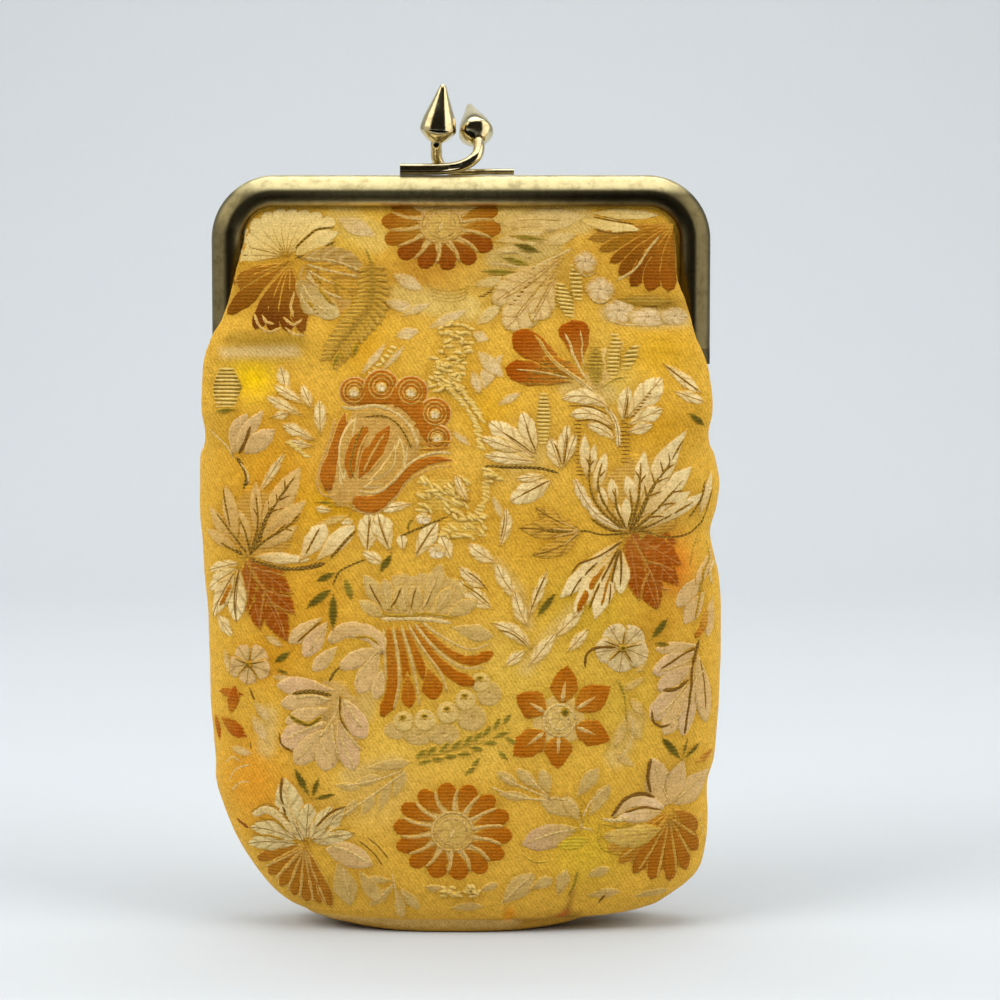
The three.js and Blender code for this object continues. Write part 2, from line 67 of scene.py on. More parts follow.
# Levels of a panel: height, outline on the left and the right, half depth at the middle, the
# cloth's edge inside the frame, and how far the side seam has closed
LEVELS = [
    (116.4, 28.6, 28.6, 3.3, 29.0, 0),
    (114.4, 29.9, 29.9, 3.3, 33.6, 0),
    (113.2, 31.0, 31.0, 3.7, 34.8, 0),
    (111.4, 33.0, 32.6, 4.8, 36.0, 0),
    (108.5, 34.2, 33.2, 6.1, 36.8, 0),
    (104.5, 34.9, 33.8, 7.5, 36.8, 0),
    (100.0, 36.0, 34.8, 8.7, 36.8, 0),
    (96.4, 37.1, 35.9, 9.4, 36.7, 0),
    (93.6, 38.8, 36.7, 9.9, 36.5, 0),
    (91.6, 39.5, 37.6, 10.2, 33.5, 0),
    (88.6, 40.2, 38.7, 10.6, 33.5, 0),
    (84.0, 40.4, 39.3, 11.1, 33.5, 0),
    (81.2, 40.7, 39.6, 11.4, 33.5, 0.25),
    (78.4, 41.0, 39.7, 11.7, 33.5, 0.7),
    (75.2, 41.2, 40.0, 11.9, 33.5, 1),
    (70.5, 41.3, 40.8, 12.2, 33.5, 1),
    (66.5, 41.3, 40.3, 12.4, 33.5, 1),
    (63.0, 41.1, 39.3, 12.6, 33.5, 1),
    (59.5, 40.9, 40.0, 12.8, 33.5, 1),
    (56.0, 40.7, 40.9, 12.9, 33.5, 1),
    (48.0, 40.2, 41.3, 13.2, 33.5, 1),
    (39.0, 40.0, 41.1, 13.2, 33.5, 1),
    (30.0, 39.5, 40.6, 13.0, 33.5, 1),
    (26.2, 39.2, 40.1, 12.9, 33.5, 1),
    (23.2, 39.2, 39.3, 12.7, 33.5, 1),
    (17.5, 37.4, 39.3, 12.2, 33.5, 1),
    (12.5, 35.1, 38.9, 11.6, 33.5, 1),
    (8.0, 32.1, 37.3, 10.9, 33.5, 1),
    (4.6, 28.8, 33.0, 9.9, 33.5, 1),
    (2.7, 25.2, 28.6, 9.1, 33.5, 1),
    (2.2, 24.1, 22.5, 8.9, 33.5, 1),
    (0.7, 18.9, 17.5, 8.0, 33.5, 1),
    (0.0, 15.0, 13.5, 7.2, 33.5, 1),
]

# Folds: middle x and z, heading from +X towards +Z in degrees, length, breadth, depth
FRONT_FOLDS = [
    (33.0, 63.0, 10, 12, 4.4, 1.3),
    (36.0, 49.0, 84, 20, 4.6, 1.1),
    (32.5, 24.0, 24, 12, 4.4, 1.0),
    (19.0, 6.0, 64, 12, 4.6, 1.2),
    (26.0, 9.0, 52, 10, 4.2, 0.8),
    (-24.0, 8.0, -50, 12, 4.6, 0.7),
    (-32.0, 93.0, 4, 18, 5.5, -0.9),
    (-30.0, 87.5, 8, 18, 5.0, 0.7),
    (-27.0, 102.0, -52, 16, 5.0, 0.7),
    (27.0, 100.0, 54, 20, 5.0, 0.8),
    (33.0, 89.0, -12, 14, 5.0, 0.6),
    (-5.0, 106.0, 86, 14, 9.0, 0.5),
]
BACK_FOLDS = [
    (-28.0, 99.0, -50, 18, 5.0, 0.8),
    (28.0, 99.0, 50, 18, 5.0, 0.8),
    (35.0, 60.0, 14, 12, 4.6, 0.9),
    (19.0, 7.0, 62, 12, 4.6, 1.0),
    (-18.0, 7.0, -60, 12, 4.6, 0.9),
]

# Powers of the section's curve low and high on the pouch, and the heights between which it changes
ROUND_SECTION = 2.5
FLAT_SECTION = 3.1
FLATTENING = (52, 80)

# Places of the five outermost points across a level with closed seams
SIDE_PLACES = np.array([1, 0.999, 0.994, 0.9825, 0.961])

# The mouth: how far out the cloth leaves the channel, and the depths of its swelling over the legs.
# The runs step inwards from there, with the share of the way out to the front at each step
THROAT = INNER_HALF - GAP - 0.1
LOBE_TIP_Y = 6.7
LOBE_UNDER_Y = 5.7
INSIDE_RUN = [(0.1, 0), (0.5, 0.08), (1.0, 0.22), (1.6, 0.4)]
OUTSIDE_RUN = [(0.4, 0.06), (0.75, 0.2), (1.0, 0.45)]

# The grid of each panel, how far its underside narrows, and its least distance from the closing plane
ROWS = 186
COLUMNS = 150
FRONT_POINTS = 121
UNDERSIDE_ROWS = 9
UNDERSIDE_WIDTH = 0.96
LEAST_Y = 0.02

# Depth and breadth of the groove along the side seams, and height and lengths of the rumples
SEAM_GROOVE = 0.5
SEAM_BREADTH = 0.8
RUMPLE = 0.09
RUMPLE_LENGTHS = (3.1, 3.7, 4.6, 5.4, 6.8, 8.3, 10.5, 13.0)

# Where folds and rumples fade out: by the side seams, at the foot and under the frame
FOLDS_BY_SEAM = (0.3, 0.75)
FOLDS_BY_FOOT = (0, 4)
FOLDS_BY_FRAME = (113, 108)
RUMPLE_BY_SEAM = (0.3, 3)
RUMPLE_BY_FOOT = (0, 1.5)
RUMPLE_BY_FRAME = (114, 110)

# Seeds of the random draws
FRONT_SEED = 11
BACK_SEED = 12
CHART_SEED = 5

# The camera: where it aims, how far off it stands, how high, and the field's width there
AIM = np.array([6.1, 0.0, 67.7])
DISTANCE = 400.0
ELEVATION = math.radians(4.0)
FIELD = 158.5


# Small helpers


def mix(a, b, t):
    return a + (b - a) * t


def smooth(low, high, value):
    t = np.clip((value - low) / (high - low), 0, 1)
    return t * t * (3 - 2 * t)


def unit(vectors):
    return vectors / np.maximum(np.linalg.norm(vectors, axis=-1, keepdims=True), 1e-9)


def colour(code):
    """A linear colour from six hex digits."""
    parts = np.array([int(code[i:i + 2], 16) / 255 for i in (0, 2, 4)])
    return np.where(parts <= 0.04045, parts / 12.92, ((parts + 0.055) / 1.055) ** 2.4)


def through(knots, values, places):
    """A smooth curve through rows of values that stand at the knots, read at the places."""
    slope = np.empty_like(values)
    slope[1:-1] = (values[2:] - values[:-2]) / (knots[2:] - knots[:-2])[:, None]
    slope[0] = (values[1] - values[0]) / (knots[1] - knots[0])
    slope[-1] = (values[-1] - values[-2]) / (knots[-1] - knots[-2])
    i = np.clip(np.searchsorted(knots, places, side="right") - 1, 0, len(knots) - 2)
    gap = (knots[i + 1] - knots[i])[:, None]
    t = (places - knots[i])[:, None] / gap
    swing = slope[i] * t * (1 - t) ** 2 - slope[i + 1] * t ** 2 * (1 - t)
    return mix(values[i], values[i + 1], t * t * (3 - 2 * t)) + gap * swing


def running_length(points):
    """Distance along each line of points, from its first point."""
    steps = np.linalg.norm(np.diff(points, axis=-2), axis=-1)
    start = np.zeros(steps.shape[:-1] + (1,))
    return np.concatenate([start, np.cumsum(steps, axis=-1)], axis=-1)


def evened(points, count):
    """The line through points, divided evenly."""
    run = running_length(points)
    places = np.linspace(0, run[-1], count)
    return np.stack([np.interp(places, run, points[:, i]) for i in range(points.shape[1])], 1)


def grid_faces(rows, columns, closed=False):
    """Quads of a grid of points, turned to face the reader when rows run down and columns right."""
    r = np.arange(rows - 1)[:, None]
    c = np.arange(columns if closed else columns - 1)[None, :]
    right = (c + 1) % columns
    corners = [r * columns + c, (r + 1) * columns + c, (r + 1) * columns + right, r * columns + right]
    return np.stack([np.broadcast_to(k, (rows - 1, c.shape[1])) for k in corners], -1).reshape(-1, 4)


def border_of(rows, columns):
    """Numbers of the points along a grid's border, in turn."""
    border = [(0, c) for c in range(columns - 1, 0, -1)]
    border += [(r, 0) for r in range(rows - 1)]
    border += [(rows - 1, c) for c in range(columns - 1)]
    border += [(r, columns - 1) for r in range(rows - 1, 0, -1)]
    return [r * columns + c for r, c in border]


def sheet_faces(outer, rings, count):
    """Faces of a thin body: its outside, its inside count points further on, and walls along rings."""
    walls = [(b, a, a + count, b + count) for ring in rings for a, b in zip(ring, ring[1:] + ring[:1])]
    return outer.tolist() + (outer[:, ::-1] + count).tolist() + walls


def opaque(colours):
    """Colours with full alpha, a row for each point."""
    rows = colours.reshape(-1, 3)
    return np.concatenate([rows, np.ones((len(rows), 1))], 1)


def mesh_object(name, points, faces, material, sharp=None):
    """A smooth-shaded object from points in millimetres and faces."""
    mesh = bpy.data.meshes.new(name)
    mesh.from_pydata((np.asarray(points) * MM).tolist(), [], [list(map(int, f)) for f in faces])
    mesh.materials.append(material)
    mesh.polygons.foreach_set("use_smooth", np.ones(len(mesh.polygons), bool))
    if sharp is not None:
        mesh.set_sharp_from_angle(angle=math.radians(sharp))
    mesh.update()
    made = bpy.data.objects.new(name, mesh)
    bpy.context.scene.collection.objects.link(made)
    return made


def give(made, name, kind, values):
    """Stores a value for each point of an object's mesh."""
    field = {"FLOAT_COLOR": "color", "FLOAT_VECTOR": "vector", "FLOAT": "value"}[kind]
    layer = made.data.attributes.new(name, kind, "POINT")
    layer.data.foreach_set(field, np.asarray(values, np.float32).ravel())


# The camera


def camera_axes():
    forward = np.array([0, math.cos(ELEVATION), -math.sin(ELEVATION)])
    up = np.array([0, math.sin(ELEVATION), math.cos(ELEVATION)])
    return forward, up


def make_camera():
    data = bpy.data.cameras.new("camera")
    data.lens = data.sensor_width * DISTANCE / FIELD
    data.clip_start = 0.01
    made = bpy.data.objects.new("camera", data)
    forward, _ = camera_axes()
    made.location = Vector((AIM - forward * DISTANCE) * MM)
    made.rotation_euler = (math.pi / 2 - ELEVATION, 0, 0)
    bpy.context.scene.collection.objects.link(made)
    bpy.context.scene.camera = made


def as_seen(points):
    """Where points appear in the picture, as x and z on the plane through the aim."""
    forward, up = camera_axes()
    away = points - (AIM - forward * DISTANCE)
    hit = away * (DISTANCE / (away @ forward))[..., None]
    return np.stack([AIM[0] + hit[..., 0], AIM[2] + hit @ up], -1)


# The pouch's surfaces


def fold_depth(folds, x, z):
    total = np.zeros_like(x)
    for middle, height, heading, length, breadth, depth in folds:
        turn = math.radians(heading)
        along = (x - middle) * math.cos(turn) + (z - height) * math.sin(turn)
        across = (z - height) * math.cos(turn) - (x - middle) * math.sin(turn)
        total += depth * np.exp(-((2 * along / length) ** 2) - (2 * across / breadth) ** 2)
    return total


def section_rise(u, z):
    power = mix(ROUND_SECTION, FLAT_SECTION, smooth(*FLATTENING, z))
    return np.maximum(0, 1 - np.abs(u) ** power) ** (1 / power)


def mouth_side(edge, visible, depth, inside):
    """Five points from the cloth's edge in the channel to where the front begins, for each level."""
    slot = np.full_like(edge, SLOT_Y + (-CLOTH if inside else CLOTH) / 2)
    throat = np.minimum(edge - 0.1, THROAT)
    if inside:
        xs = [edge] + [throat - inwards for inwards, _ in INSIDE_RUN]
        ys = [slot] + [mix(slot, np.maximum(slot, depth), rise) for _, rise in INSIDE_RUN]
        return np.stack(xs, 1), np.stack(ys, 1)
    free = np.minimum(visible, throat - 0.15)
    over = smooth(THROAT, THROAT + 1.3, visible)
    swelling_x = [throat, visible - 0.9, visible]
    swelling_y = [LOBE_UNDER_Y, LOBE_UNDER_Y + 0.1, LOBE_TIP_Y]
    xs, ys = [edge, throat], [slot, slot]
    for (inwards, rise), far, high in zip(OUTSIDE_RUN, swelling_x, swelling_y):
        xs.append(mix(mix(throat, free, inwards), far, over))
        ys.append(mix(mix(slot, depth, rise), high, over))
    return np.stack(xs, 1), np.stack(ys, 1)


def closed_section(left, right, inset, reach, height, spread):
    """The x and y of each level below the mouth, where the side seams are closed."""
    u = np.concatenate([SIDE_PLACES, spread * SIDE_PLACES[-1], -SIDE_PLACES[::-1]])[None, :]
    half = ((left + right) / 2 - inset)[:, None]
    return ((right - left) / 2)[:, None] - half * u, reach * section_rise(u, height)


def mouth_section(sides, reach, height, spread):
    """The x and y of each level in the mouth: the front between its two sides."""
    (left_x, left_y), (right_x, right_y) = sides
    share = (spread[None, :] + 1) / 2
    low = mix(right_y[:, -1:], left_y[:, -1:], share)
    front_x = mix(right_x[:, -1:], -left_x[:, -1:], share)
    front_y = mix(low, np.maximum(reach, low), section_rise(spread[None, :], height))
    mouth_x = np.concatenate([-left_x, front_x, right_x[:, ::-1]], 1)
    return mouth_x, np.concatenate([left_y, front_y, right_y[:, ::-1]], 1)


def level_lines(levels, inset, folds):
    """The x and y of each level of a panel, from its left edge to its right one, y outwards."""
    z, left, right, depth, edge, seam = (levels[:, i] for i in range(6))
    even = np.linspace(1, -1, FRONT_POINTS + 2)[1:-1]
    spread = mix(even, np.sin(even * math.pi / 2), 0.5)
    height = z[:, None]
    reach = (depth - inset)[:, None]
    sides = [mouth_side(edge, visible, reach[:, 0], inset > 0) for visible in (left, right)]
    mouth_x, mouth_y = mouth_section(sides, reach, height, spread)
    closed_x, closed_y = closed_section(left, right, inset, reach, height, spread)
    closed = seam[:, None]
    x = mix(mouth_x, closed_x, closed)
    y = mix(mouth_y, closed_y, closed)
    room = smooth(*FOLDS_BY_SEAM, y / depth[:, None])
    room = room * smooth(*FOLDS_BY_FOOT, height) * smooth(*FOLDS_BY_FRAME, height)
    y = np.maximum(LEAST_Y, y - fold_depth(folds, x, height + 0 * x) * room)
    groove = SEAM_GROOVE * np.exp(-((y / SEAM_BREADTH) ** 2)) * closed
    return x - np.sign(x) * groove, y


def panel_grid(inset, folds, swap):
    """Points of one surface of a panel: rows run down, columns run to the right, y outwards."""
    table = np.array(LEVELS, float)
    if swap:
        table[:, [1, 2]] = table[:, [2, 1]]
    steps = np.diff(table, axis=0)
    wide = np.abs(steps[:, 1:3]).max(1)
    run = np.concatenate([[0], np.cumsum(np.sqrt(steps[:, 0] ** 2 + steps[:, 3] ** 2 + (wide / 2) ** 2))])
    levels = through(run, table, np.linspace(0, run[-1], ROWS))
    levels[:, 5] = np.clip(levels[:, 5], 0, 1)
    levels[:, 0] = np.maximum(levels[:, 0], 0)
    xs, ys = level_lines(levels, inset, folds)
    heights = levels[:, 0] + inset * np.maximum(0, 1 - levels[:, 0] / 12)
    lines = [evened(np.stack([x, y], 1), COLUMNS) for x, y in zip(xs, ys)]
    grid = np.stack([np.column_stack([line, np.full(COLUMNS, h)]) for line, h in zip(lines, heights)])
    last = grid[-1]
    shares = np.linspace(0, 1, UNDERSIDE_ROWS + 1)[1:, None]
    under = []
    for share in shares:
        narrowed = last[:, 0] * mix(1, UNDERSIDE_WIDTH, share)
        under.append(np.column_stack([narrowed, mix(last[:, 1], LEAST_Y, share), last[:, 2]]))
    return np.concatenate([grid, np.stack(under)])


def relaxed(grid, passes):
    """Takes small kinks out of a grid and keeps its border."""
    for _ in range(passes):
        inner = grid[1:-1, 1:-1]
        around = grid[:-2, 1:-1] + grid[2:, 1:-1] + grid[1:-1, :-2] + grid[1:-1, 2:]
        grid[1:-1, 1:-1] = mix(inner, around / 4, 0.5)
    return grid


def grid_normals(grid):
    return unit(np.cross(np.gradient(grid, axis=1), -np.gradient(grid, axis=0)))


def rumple(s, t, seed):
    """Soft unevenness of the cloth, from -1 to 1 or so."""
    chance = np.random.default_rng(seed)
    total = np.zeros_like(s)
    for length in RUMPLE_LENGTHS:
        turn, phase = chance.uniform(0, math.pi), chance.uniform(0, 2 * math.pi)
        along = s * math.cos(turn) + t * math.sin(turn)
        bend = 1.3 * np.sin((s * math.sin(turn) - t * math.cos(turn)) / (1.7 * length) + phase)
        total += np.sin(2 * math.pi * along / length + bend) * length / 8
    return total / 3


# A panel's outside as a map: points and normals, and the cloth's own measure along each row
# (s, from the middle to the right) and up the middle (t, from the foot)
Panel = namedtuple("Panel", "points normals inside zero step t")


def make_panel(folds, back, seed):
    if back:
        folds = [(-x, z, -heading, *rest) for x, z, heading, *rest in folds]
    outside = relaxed(panel_grid(0, folds, back), 2)
    inside = relaxed(panel_grid(CLOTH, folds, back), 2)
    run = running_length(outside)
    zero = np.array([np.interp(0, line[:, 0], along) for line, along in zip(outside, run)])
    step = run[:, -1] / (COLUMNS - 1)
    middle = outside[:, COLUMNS // 2]
    up = running_length(middle)
    t = up[ROWS - 1] - up
    turn = np.array([-1, 1, 1]) if back else np.array([1, -1, 1])
    outside, inside = outside * turn, inside * turn
    normals = grid_normals(outside)
    s = run - zero[:, None]
    height = outside[:, :, 2]
    calm = smooth(*RUMPLE_BY_FOOT, height) * smooth(*RUMPLE_BY_FRAME, height)
    calm = calm * smooth(*RUMPLE_BY_SEAM, np.abs(outside[:, :, 1]))
    lift = RUMPLE * rumple(s, t[:, None] + 0 * s, seed) * calm
    outside = outside + normals * lift[..., None]
    return Panel(outside, grid_normals(outside), inside, zero, step, t)


def grid_places(panel, places):
    """The rows and columns of a panel's grid at places (s, t) of the cloth."""
    total = len(panel.t)
    row = np.interp(places[..., 1], panel.t[::-1], np.arange(total)[::-1])
    zero, step = (np.interp(row, np.arange(total), values) for values in (panel.zero, panel.step))
    return row, (places[..., 0] + zero) / step


def read_grid(panel, field, places):
    """A field of the panel's grid, read between its points at places (s, t) of the cloth."""
    row, column = grid_places(panel, places)
    r = np.clip(row.astype(int), 0, len(panel.t) - 2)
    c = np.clip(column.astype(int), 0, COLUMNS - 2)
    down = np.clip(row - r, 0, 1)[..., None]
    right = np.clip(column - c, 0, 1)[..., None]
    above = mix(field[r, c], field[r, c + 1], right)
    return mix(above, mix(field[r + 1, c], field[r + 1, c + 1], right), down)


def on_panel(panel, places):
    """Points and normals at places (s, t) of the cloth, and which of them the panel has."""
    _, column = grid_places(panel, places)
    t = places[..., 1]
    there = (t < panel.t[0]) & (t > panel.t[-1]) & (column > 0) & (column < COLUMNS - 1)
    return read_grid(panel, panel.points, places), unit(read_grid(panel, panel.normals, places)), there


# How far cloth has to turn to the front for a motif to be placed on it
LEAST_FACING = 0.1


def place_on_cloth(panel, shown, seen):
    """The cloth places (s, t) that appear at points (x, z) of the picture; shown is the panel as seen."""
    faces_away = panel.normals[..., 1:2] > -LEAST_FACING
    rows = np.arange(len(panel.t))
    flat = np.where(faces_away, np.inf, shown).reshape(-1, 2)
    places = []
    for point in np.asarray(seen, float).reshape(-1, 2):
        r, c = divmod(int(np.argmin(((flat - point) ** 2).sum(1))), COLUMNS)
        r, c = min(max(r, 1), len(panel.t) - 2), min(max(c, 1), COLUMNS - 2)
        down = (shown[r + 1, c] - shown[r - 1, c]) / 2
        right = (shown[r, c + 1] - shown[r, c - 1]) / 2
        off = np.linalg.lstsq(np.stack([down, right], 1), point - shown[r, c], rcond=1e-3)[0]
        dr, dc = np.clip(off, -1, 1)
        t, zero, step = (np.interp(r + dr, rows, values) for values in (panel.t, panel.zero, panel.step))
        places.append(((c + dc) * step - zero, t))
    return np.array(places)


def cloth_places(panel):
    """The place (s, t) on the cloth of each point of a panel's grid."""
    s = np.arange(COLUMNS)[None, :] * panel.step[:, None] - panel.zero[:, None]
    return s, panel.t[:, None] + 0 * s


def panel_object(name, panel, tints, material):
    """The panel as a closed sheet, with its place on the cloth and its tint stored at each point."""
    rows = len(panel.t)
    points = np.concatenate([panel.points.reshape(-1, 3), panel.inside.reshape(-1, 3)])
    faces = sheet_faces(grid_faces(rows, COLUMNS), [border_of(rows, COLUMNS)], rows * COLUMNS)
    made = mesh_object(name, points, faces, material)
    s, t = cloth_places(panel)
    cloth = np.stack([s, t, 0 * s], -1).reshape(-1, 3)
    give(made, "cloth", "FLOAT_VECTOR", np.concatenate([cloth, cloth]))
    give(made, "tint", "FLOAT_COLOR", np.concatenate([opaque(tints), opaque(tints)]))
    return made


# The ground's dye: golden, with soft spots. Each has its middle, reach across and up, colour, strength
GROUND = "E0AE3E"
GROUND_SPOTS = [
    (-29, 72, 10, 10, "DC9A1C", 0.8),
    (-24, 52, 6, 6, "DB9C20", 0.7),
    (-33, 87, 3.4, 3.2, "F6C80A", 1.0),
    (-33, 23, 6, 7, "E79A24", 0.8),
    (-16, 93, 4, 6, "E6AA1E", 0.7),
    (-18, 110, 6, 4, "E2BE50", 0.8),
    (0, 100, 9, 4, "DCB450", 0.8),
    (10, 105, 7, 5, "D0B05C", 0.8),
    (24, 88, 4, 5, "E2C566", 0.7),
    (31, 91, 6, 4, "E3AC1E", 0.8),
    (5, 82, 5, 5, "E2AA20", 0.8),
    (32, 79, 6, 4, "DCA020", 0.8),
    (13, 61, 9, 6, "D5A02C", 0.8),
    (20, 50, 8, 6, "CFA82C", 0.8),
    (34, 57, 3.4, 5, "E0811C", 0.9),
    (31, 48, 5, 4, "C48C20", 0.8),
    (8, 40, 9, 8, "DDB546", 0.8),
    (24, 36, 8, 8, "D6AE3E", 0.8),
    (-1, 30, 12, 5, "ECC456", 0.8),
    (20, 12, 6, 6, "DDB62E", 0.8),
    (-31, 93, 6, 1.6, "A97C22", 0.9),
    (31, 98.6, 5, 1.7, "97762A", 0.9),
    (-20, 67, 5, 3, "E4AC16", 0.8),
    (-6, 104, 6, 4, "C48C2C", 0.8),
    (-6, 75, 6, 5, "ECB850", 0.8),
    (-19, 76, 5, 4, "ECB84C", 0.8),
    (9, 88, 5, 4, "ECB842", 0.8),
    (10, 75, 4, 4, "E4C272", 0.8),
    (-1, 44, 6, 4, "EABE5A", 0.8),
    (-30, 43, 6, 5, "D8981C", 0.8),
    (-14, 21, 6, 5, "ECC264", 0.8),
    # Along the foot: darker towards the bottom edge, and painted shade in the crease of the hem near x = 16
    (-14, 0.8, 13, 2.8, "A8782C", 0.7),
    (6, 0.8, 12, 2.6, "94621E", 0.75),
    (16, 1.6, 3, 1.6, "704818", 0.8),
]

# Painted shade on the ground: what its dye is multiplied by far from motifs and between crowded ones
OPEN_SHADE = np.array([1.02, 1.02, 1.0])
CROWDED_SHADE = np.array([0.84, 0.79, 0.62])

# Where motifs count as crowded: their least height, the cells around a place that are counted, and
# the covered share at which the shade starts and is full
COVERED = 0.03
CROWD_REACH = 5
CROWDING = (0.2, 0.85)

# Painted shade just under the frame's lip: what all dyes are multiplied by there, and the heights where it
# starts and is full
PAINTED_SHADE_UNDER_FRAME = np.array([0.84, 0.81, 0.74])
PAINTED_SHADE_HEIGHTS = (93, 106)

# Soft strokes of other yarn in the ground: colour, strength, breadth, and the points it goes through
GROUND_STROKES = [
    ("B08A2C", 0.7, 2.4, (-36.0, 93.4), (-26.0, 93.0)),
    ("E6C88C", 0.7, 1.5, (-37.6, 91.0), (-26.4, 91.2)),
    ("ECCB70", 0.6, 4.6, (-19.0, 112.6), (-13.6, 109.0)),
    ("E4C878", 0.6, 4.0, (-9.5, 100.0), (1.0, 98.0)),
    ("E2C880", 0.7, 4.6, (7.0, 111.8), (19.0, 112.0)),
    ("D8BE78", 0.7, 4.0, (6.0, 106.0), (14.0, 108.0)),
    ("E4C88C", 0.6, 2.6, (23.4, 97.4), (29.0, 96.2), (35.0, 96.4)),
    ("DDBE78", 0.6, 3.0, (17.0, 85.4), (23.0, 84.4)),
    ("DDBA70", 0.6, 2.2, (17.6, 50.0), (13.0, 45.0), (10.2, 41.0)),
    ("DDBA70", 0.6, 1.8, (5.6, 57.6), (9.0, 53.4), (10.6, 48.0)),
    ("DCBA70", 0.6, 3.4, (24.4, 27.0), (27.6, 33.0)),
    ("DCBA70", 0.6, 2.4, (-18.0, 24.0), (-10.6, 26.0)),
    ("DCBA70", 0.6, 3.0, (-14.0, 40.4), (-15.4, 34.0)),
    ("DCBC74", 0.6, 3.0, (-30.6, 33.6), (-31.0, 28.4)),
    ("E09018", 0.9, 1.6, (7.2, 1.2), (7.6, 2.4)),
    # Two darker strokes along the crease of the hem
    ("B8501C", 0.8, 1.0, (14.8, 1.6), (16.6, 2.4)),
    ("8A5A1C", 0.6, 1.0, (16.8, 2.6), (17.6, 5.4)),
    ("DCBC74", 0.5, 2.4, (-24.0, 1.6), (-8.0, 0.8), (8.0, 0.8)),
]


def stroke_share(s, t, route, wide):
    """How much of a soft stroke through cloth places lies at each point, from 0 to 1."""
    far = np.full(s.shape, np.inf)
    for a, b in zip(route, route[1:]):
        way = b - a
        along = np.clip(((s - a[0]) * way[0] + (t - a[1]) * way[1]) / (way @ way), 0, 1)
        far = np.minimum(far, np.hypot(s - mix(a[0], b[0], along), t - mix(a[1], b[1], along)))
    return smooth(wide / 2 + 0.7, wide / 2 - 0.7, far)


def softened(field, reach):
    """A field of cells, each averaged with those within reach, twice over."""
    even = np.ones(2 * reach + 1) / (2 * reach + 1)
    for axis in (0, 1, 0, 1):
        field = np.apply_along_axis(np.convolve, axis, field, even, "same")
    return field


def shade_under_frame(heights):
    """The painted shade under the frame's lip: what dyes are multiplied by at heights over the floor."""
    return mix(np.ones(3), PAINTED_SHADE_UNDER_FRAME, smooth(*PAINTED_SHADE_HEIGHTS, heights)[..., None])


def ground_tints(panel, brocade):
    """The ground's linear colour at each point of a panel's grid, with painted shade where motifs crowd it
    and under the frame.
    """
    shown = brocade.shown
    s, t = cloth_places(panel)
    tints = np.tile(colour(GROUND), s.shape + (1,))
    for x, z, across, up, dye, strength in GROUND_SPOTS:
        middle = place_on_cloth(panel, shown, [(x, z)])[0]
        near = np.exp(-(((s - middle[0]) / across) ** 2) - ((t - middle[1]) / up) ** 2)
        tints = mix(tints, colour(dye), (strength * near)[..., None])
    for dye, strength, wide, *points in GROUND_STROKES:
        share = stroke_share(s, t, place_on_cloth(panel, shown, points), wide)
        tints = mix(tints, colour(dye), (strength * share)[..., None])
    covered = (brocade.heights > COVERED).astype(float)
    crowd = softened(covered, CROWD_REACH)[brocade.cells(np.stack([s, t], -1))]
    tints = tints * mix(OPEN_SHADE, CROWDED_SHADE, smooth(*CROWDING, crowd)[..., None])
    # Painted shade just under the frame's lip
    return tints * shade_under_frame(panel.points[..., 2])


# Materials


def new_material(name):
    material = bpy.data.materials.new(name)
    material.use_nodes = True
    tree = material.node_tree
    tree.nodes.clear()
    shader = tree.nodes.new("ShaderNodeBsdfPrincipled")
    output = tree.nodes.new("ShaderNodeOutputMaterial")
    tree.links.new(shader.outputs[0], output.inputs[0])
    return material, tree, shader


def feed(tree, socket, value):
    if isinstance(value, bpy.types.NodeSocket):
        tree.links.new(value, socket)
    else:
        socket.default_value = value


def add(tree, kind, inputs, **settings):
    made = tree.nodes.new("ShaderNode" + kind)
    for key, value in settings.items():
        setattr(made, key, value)
    for key, value in inputs.items():
        feed(tree, made.inputs[key], value)
    return made


def calc(tree, operation, *values):
    made = tree.nodes.new("ShaderNodeMath")
    made.operation = operation
    for socket, value in zip(made.inputs, values):
        feed(tree, socket, value)
    return made.outputs[0]


def times(tree, first, second):
    return calc(tree, "MULTIPLY", first, second)


def blend_colours(tree, factor, first, second, how="MIX"):
    made = tree.nodes.new("ShaderNodeMix")
    made.data_type = "RGBA"
    made.blend_type = how
    feed(tree, made.inputs[0], factor)
    feed(tree, made.inputs[6], first)
    feed(tree, made.inputs[7], second)
    return made.outputs[2]


def remap(tree, value, low, high, new_low=0.0, new_high=1.0):
    made = add(tree, "MapRange", {}, interpolation_type="SMOOTHSTEP")
    for socket, number in zip(made.inputs, (value, low, high, new_low, new_high)):
        feed(tree, socket, number)
    return made.outputs[0]


def noise(tree, vector, scale, detail=2.0, roughness=0.5):
    inputs = {"Vector": vector, "Scale": scale, "Detail": detail, "Roughness": roughness}
    return add(tree, "TexNoise", inputs).outputs[0]


def rgba(code):
    return (*colour(code), 1)


def stored(tree, name, output="Color"):
    """What is stored under a name at each point of the mesh."""
    return add(tree, "Attribute", {}, attribute_name=name).outputs[output]


def cloth_coordinates(tree):
    """The cloth's own vector in millimetres, and its parts along the weft and the warp."""
    vector = stored(tree, "cloth", "Vector")
    parts = add(tree, "SeparateXYZ", {"Vector": vector})
    return vector, parts.outputs[0], parts.outputs[1]


THREAD_PITCH = 0.55
TWILL_LEAN = math.radians(32)


def twill_wave(tree, vector, s, t, pitch, lean):
    """Diagonal ridges of the weave, from -1 to 1, a little uneven."""
    uneven = times(tree, noise(tree, vector, 1.1, 3.0), 2.2)
    level, upright = times(tree, s, math.cos(lean)), times(tree, t, math.sin(lean))
    along = calc(tree, "ADD", level, upright)
    phase = calc(tree, "MULTIPLY_ADD", along, 2 * math.pi / pitch, uneven)
    return calc(tree, "SINE", phase)


# What a dye is multiplied by in the hollows and on the crests of the grain: the yarns' own mottling, with
# painted shade in the hollows and painted highlights on the crests
GRAIN_HOLLOW_SHADE = (0.62, 0.54, 0.36, 1)
GRAIN_CREST_LIGHT = (1.3, 1.34, 1.5, 1)


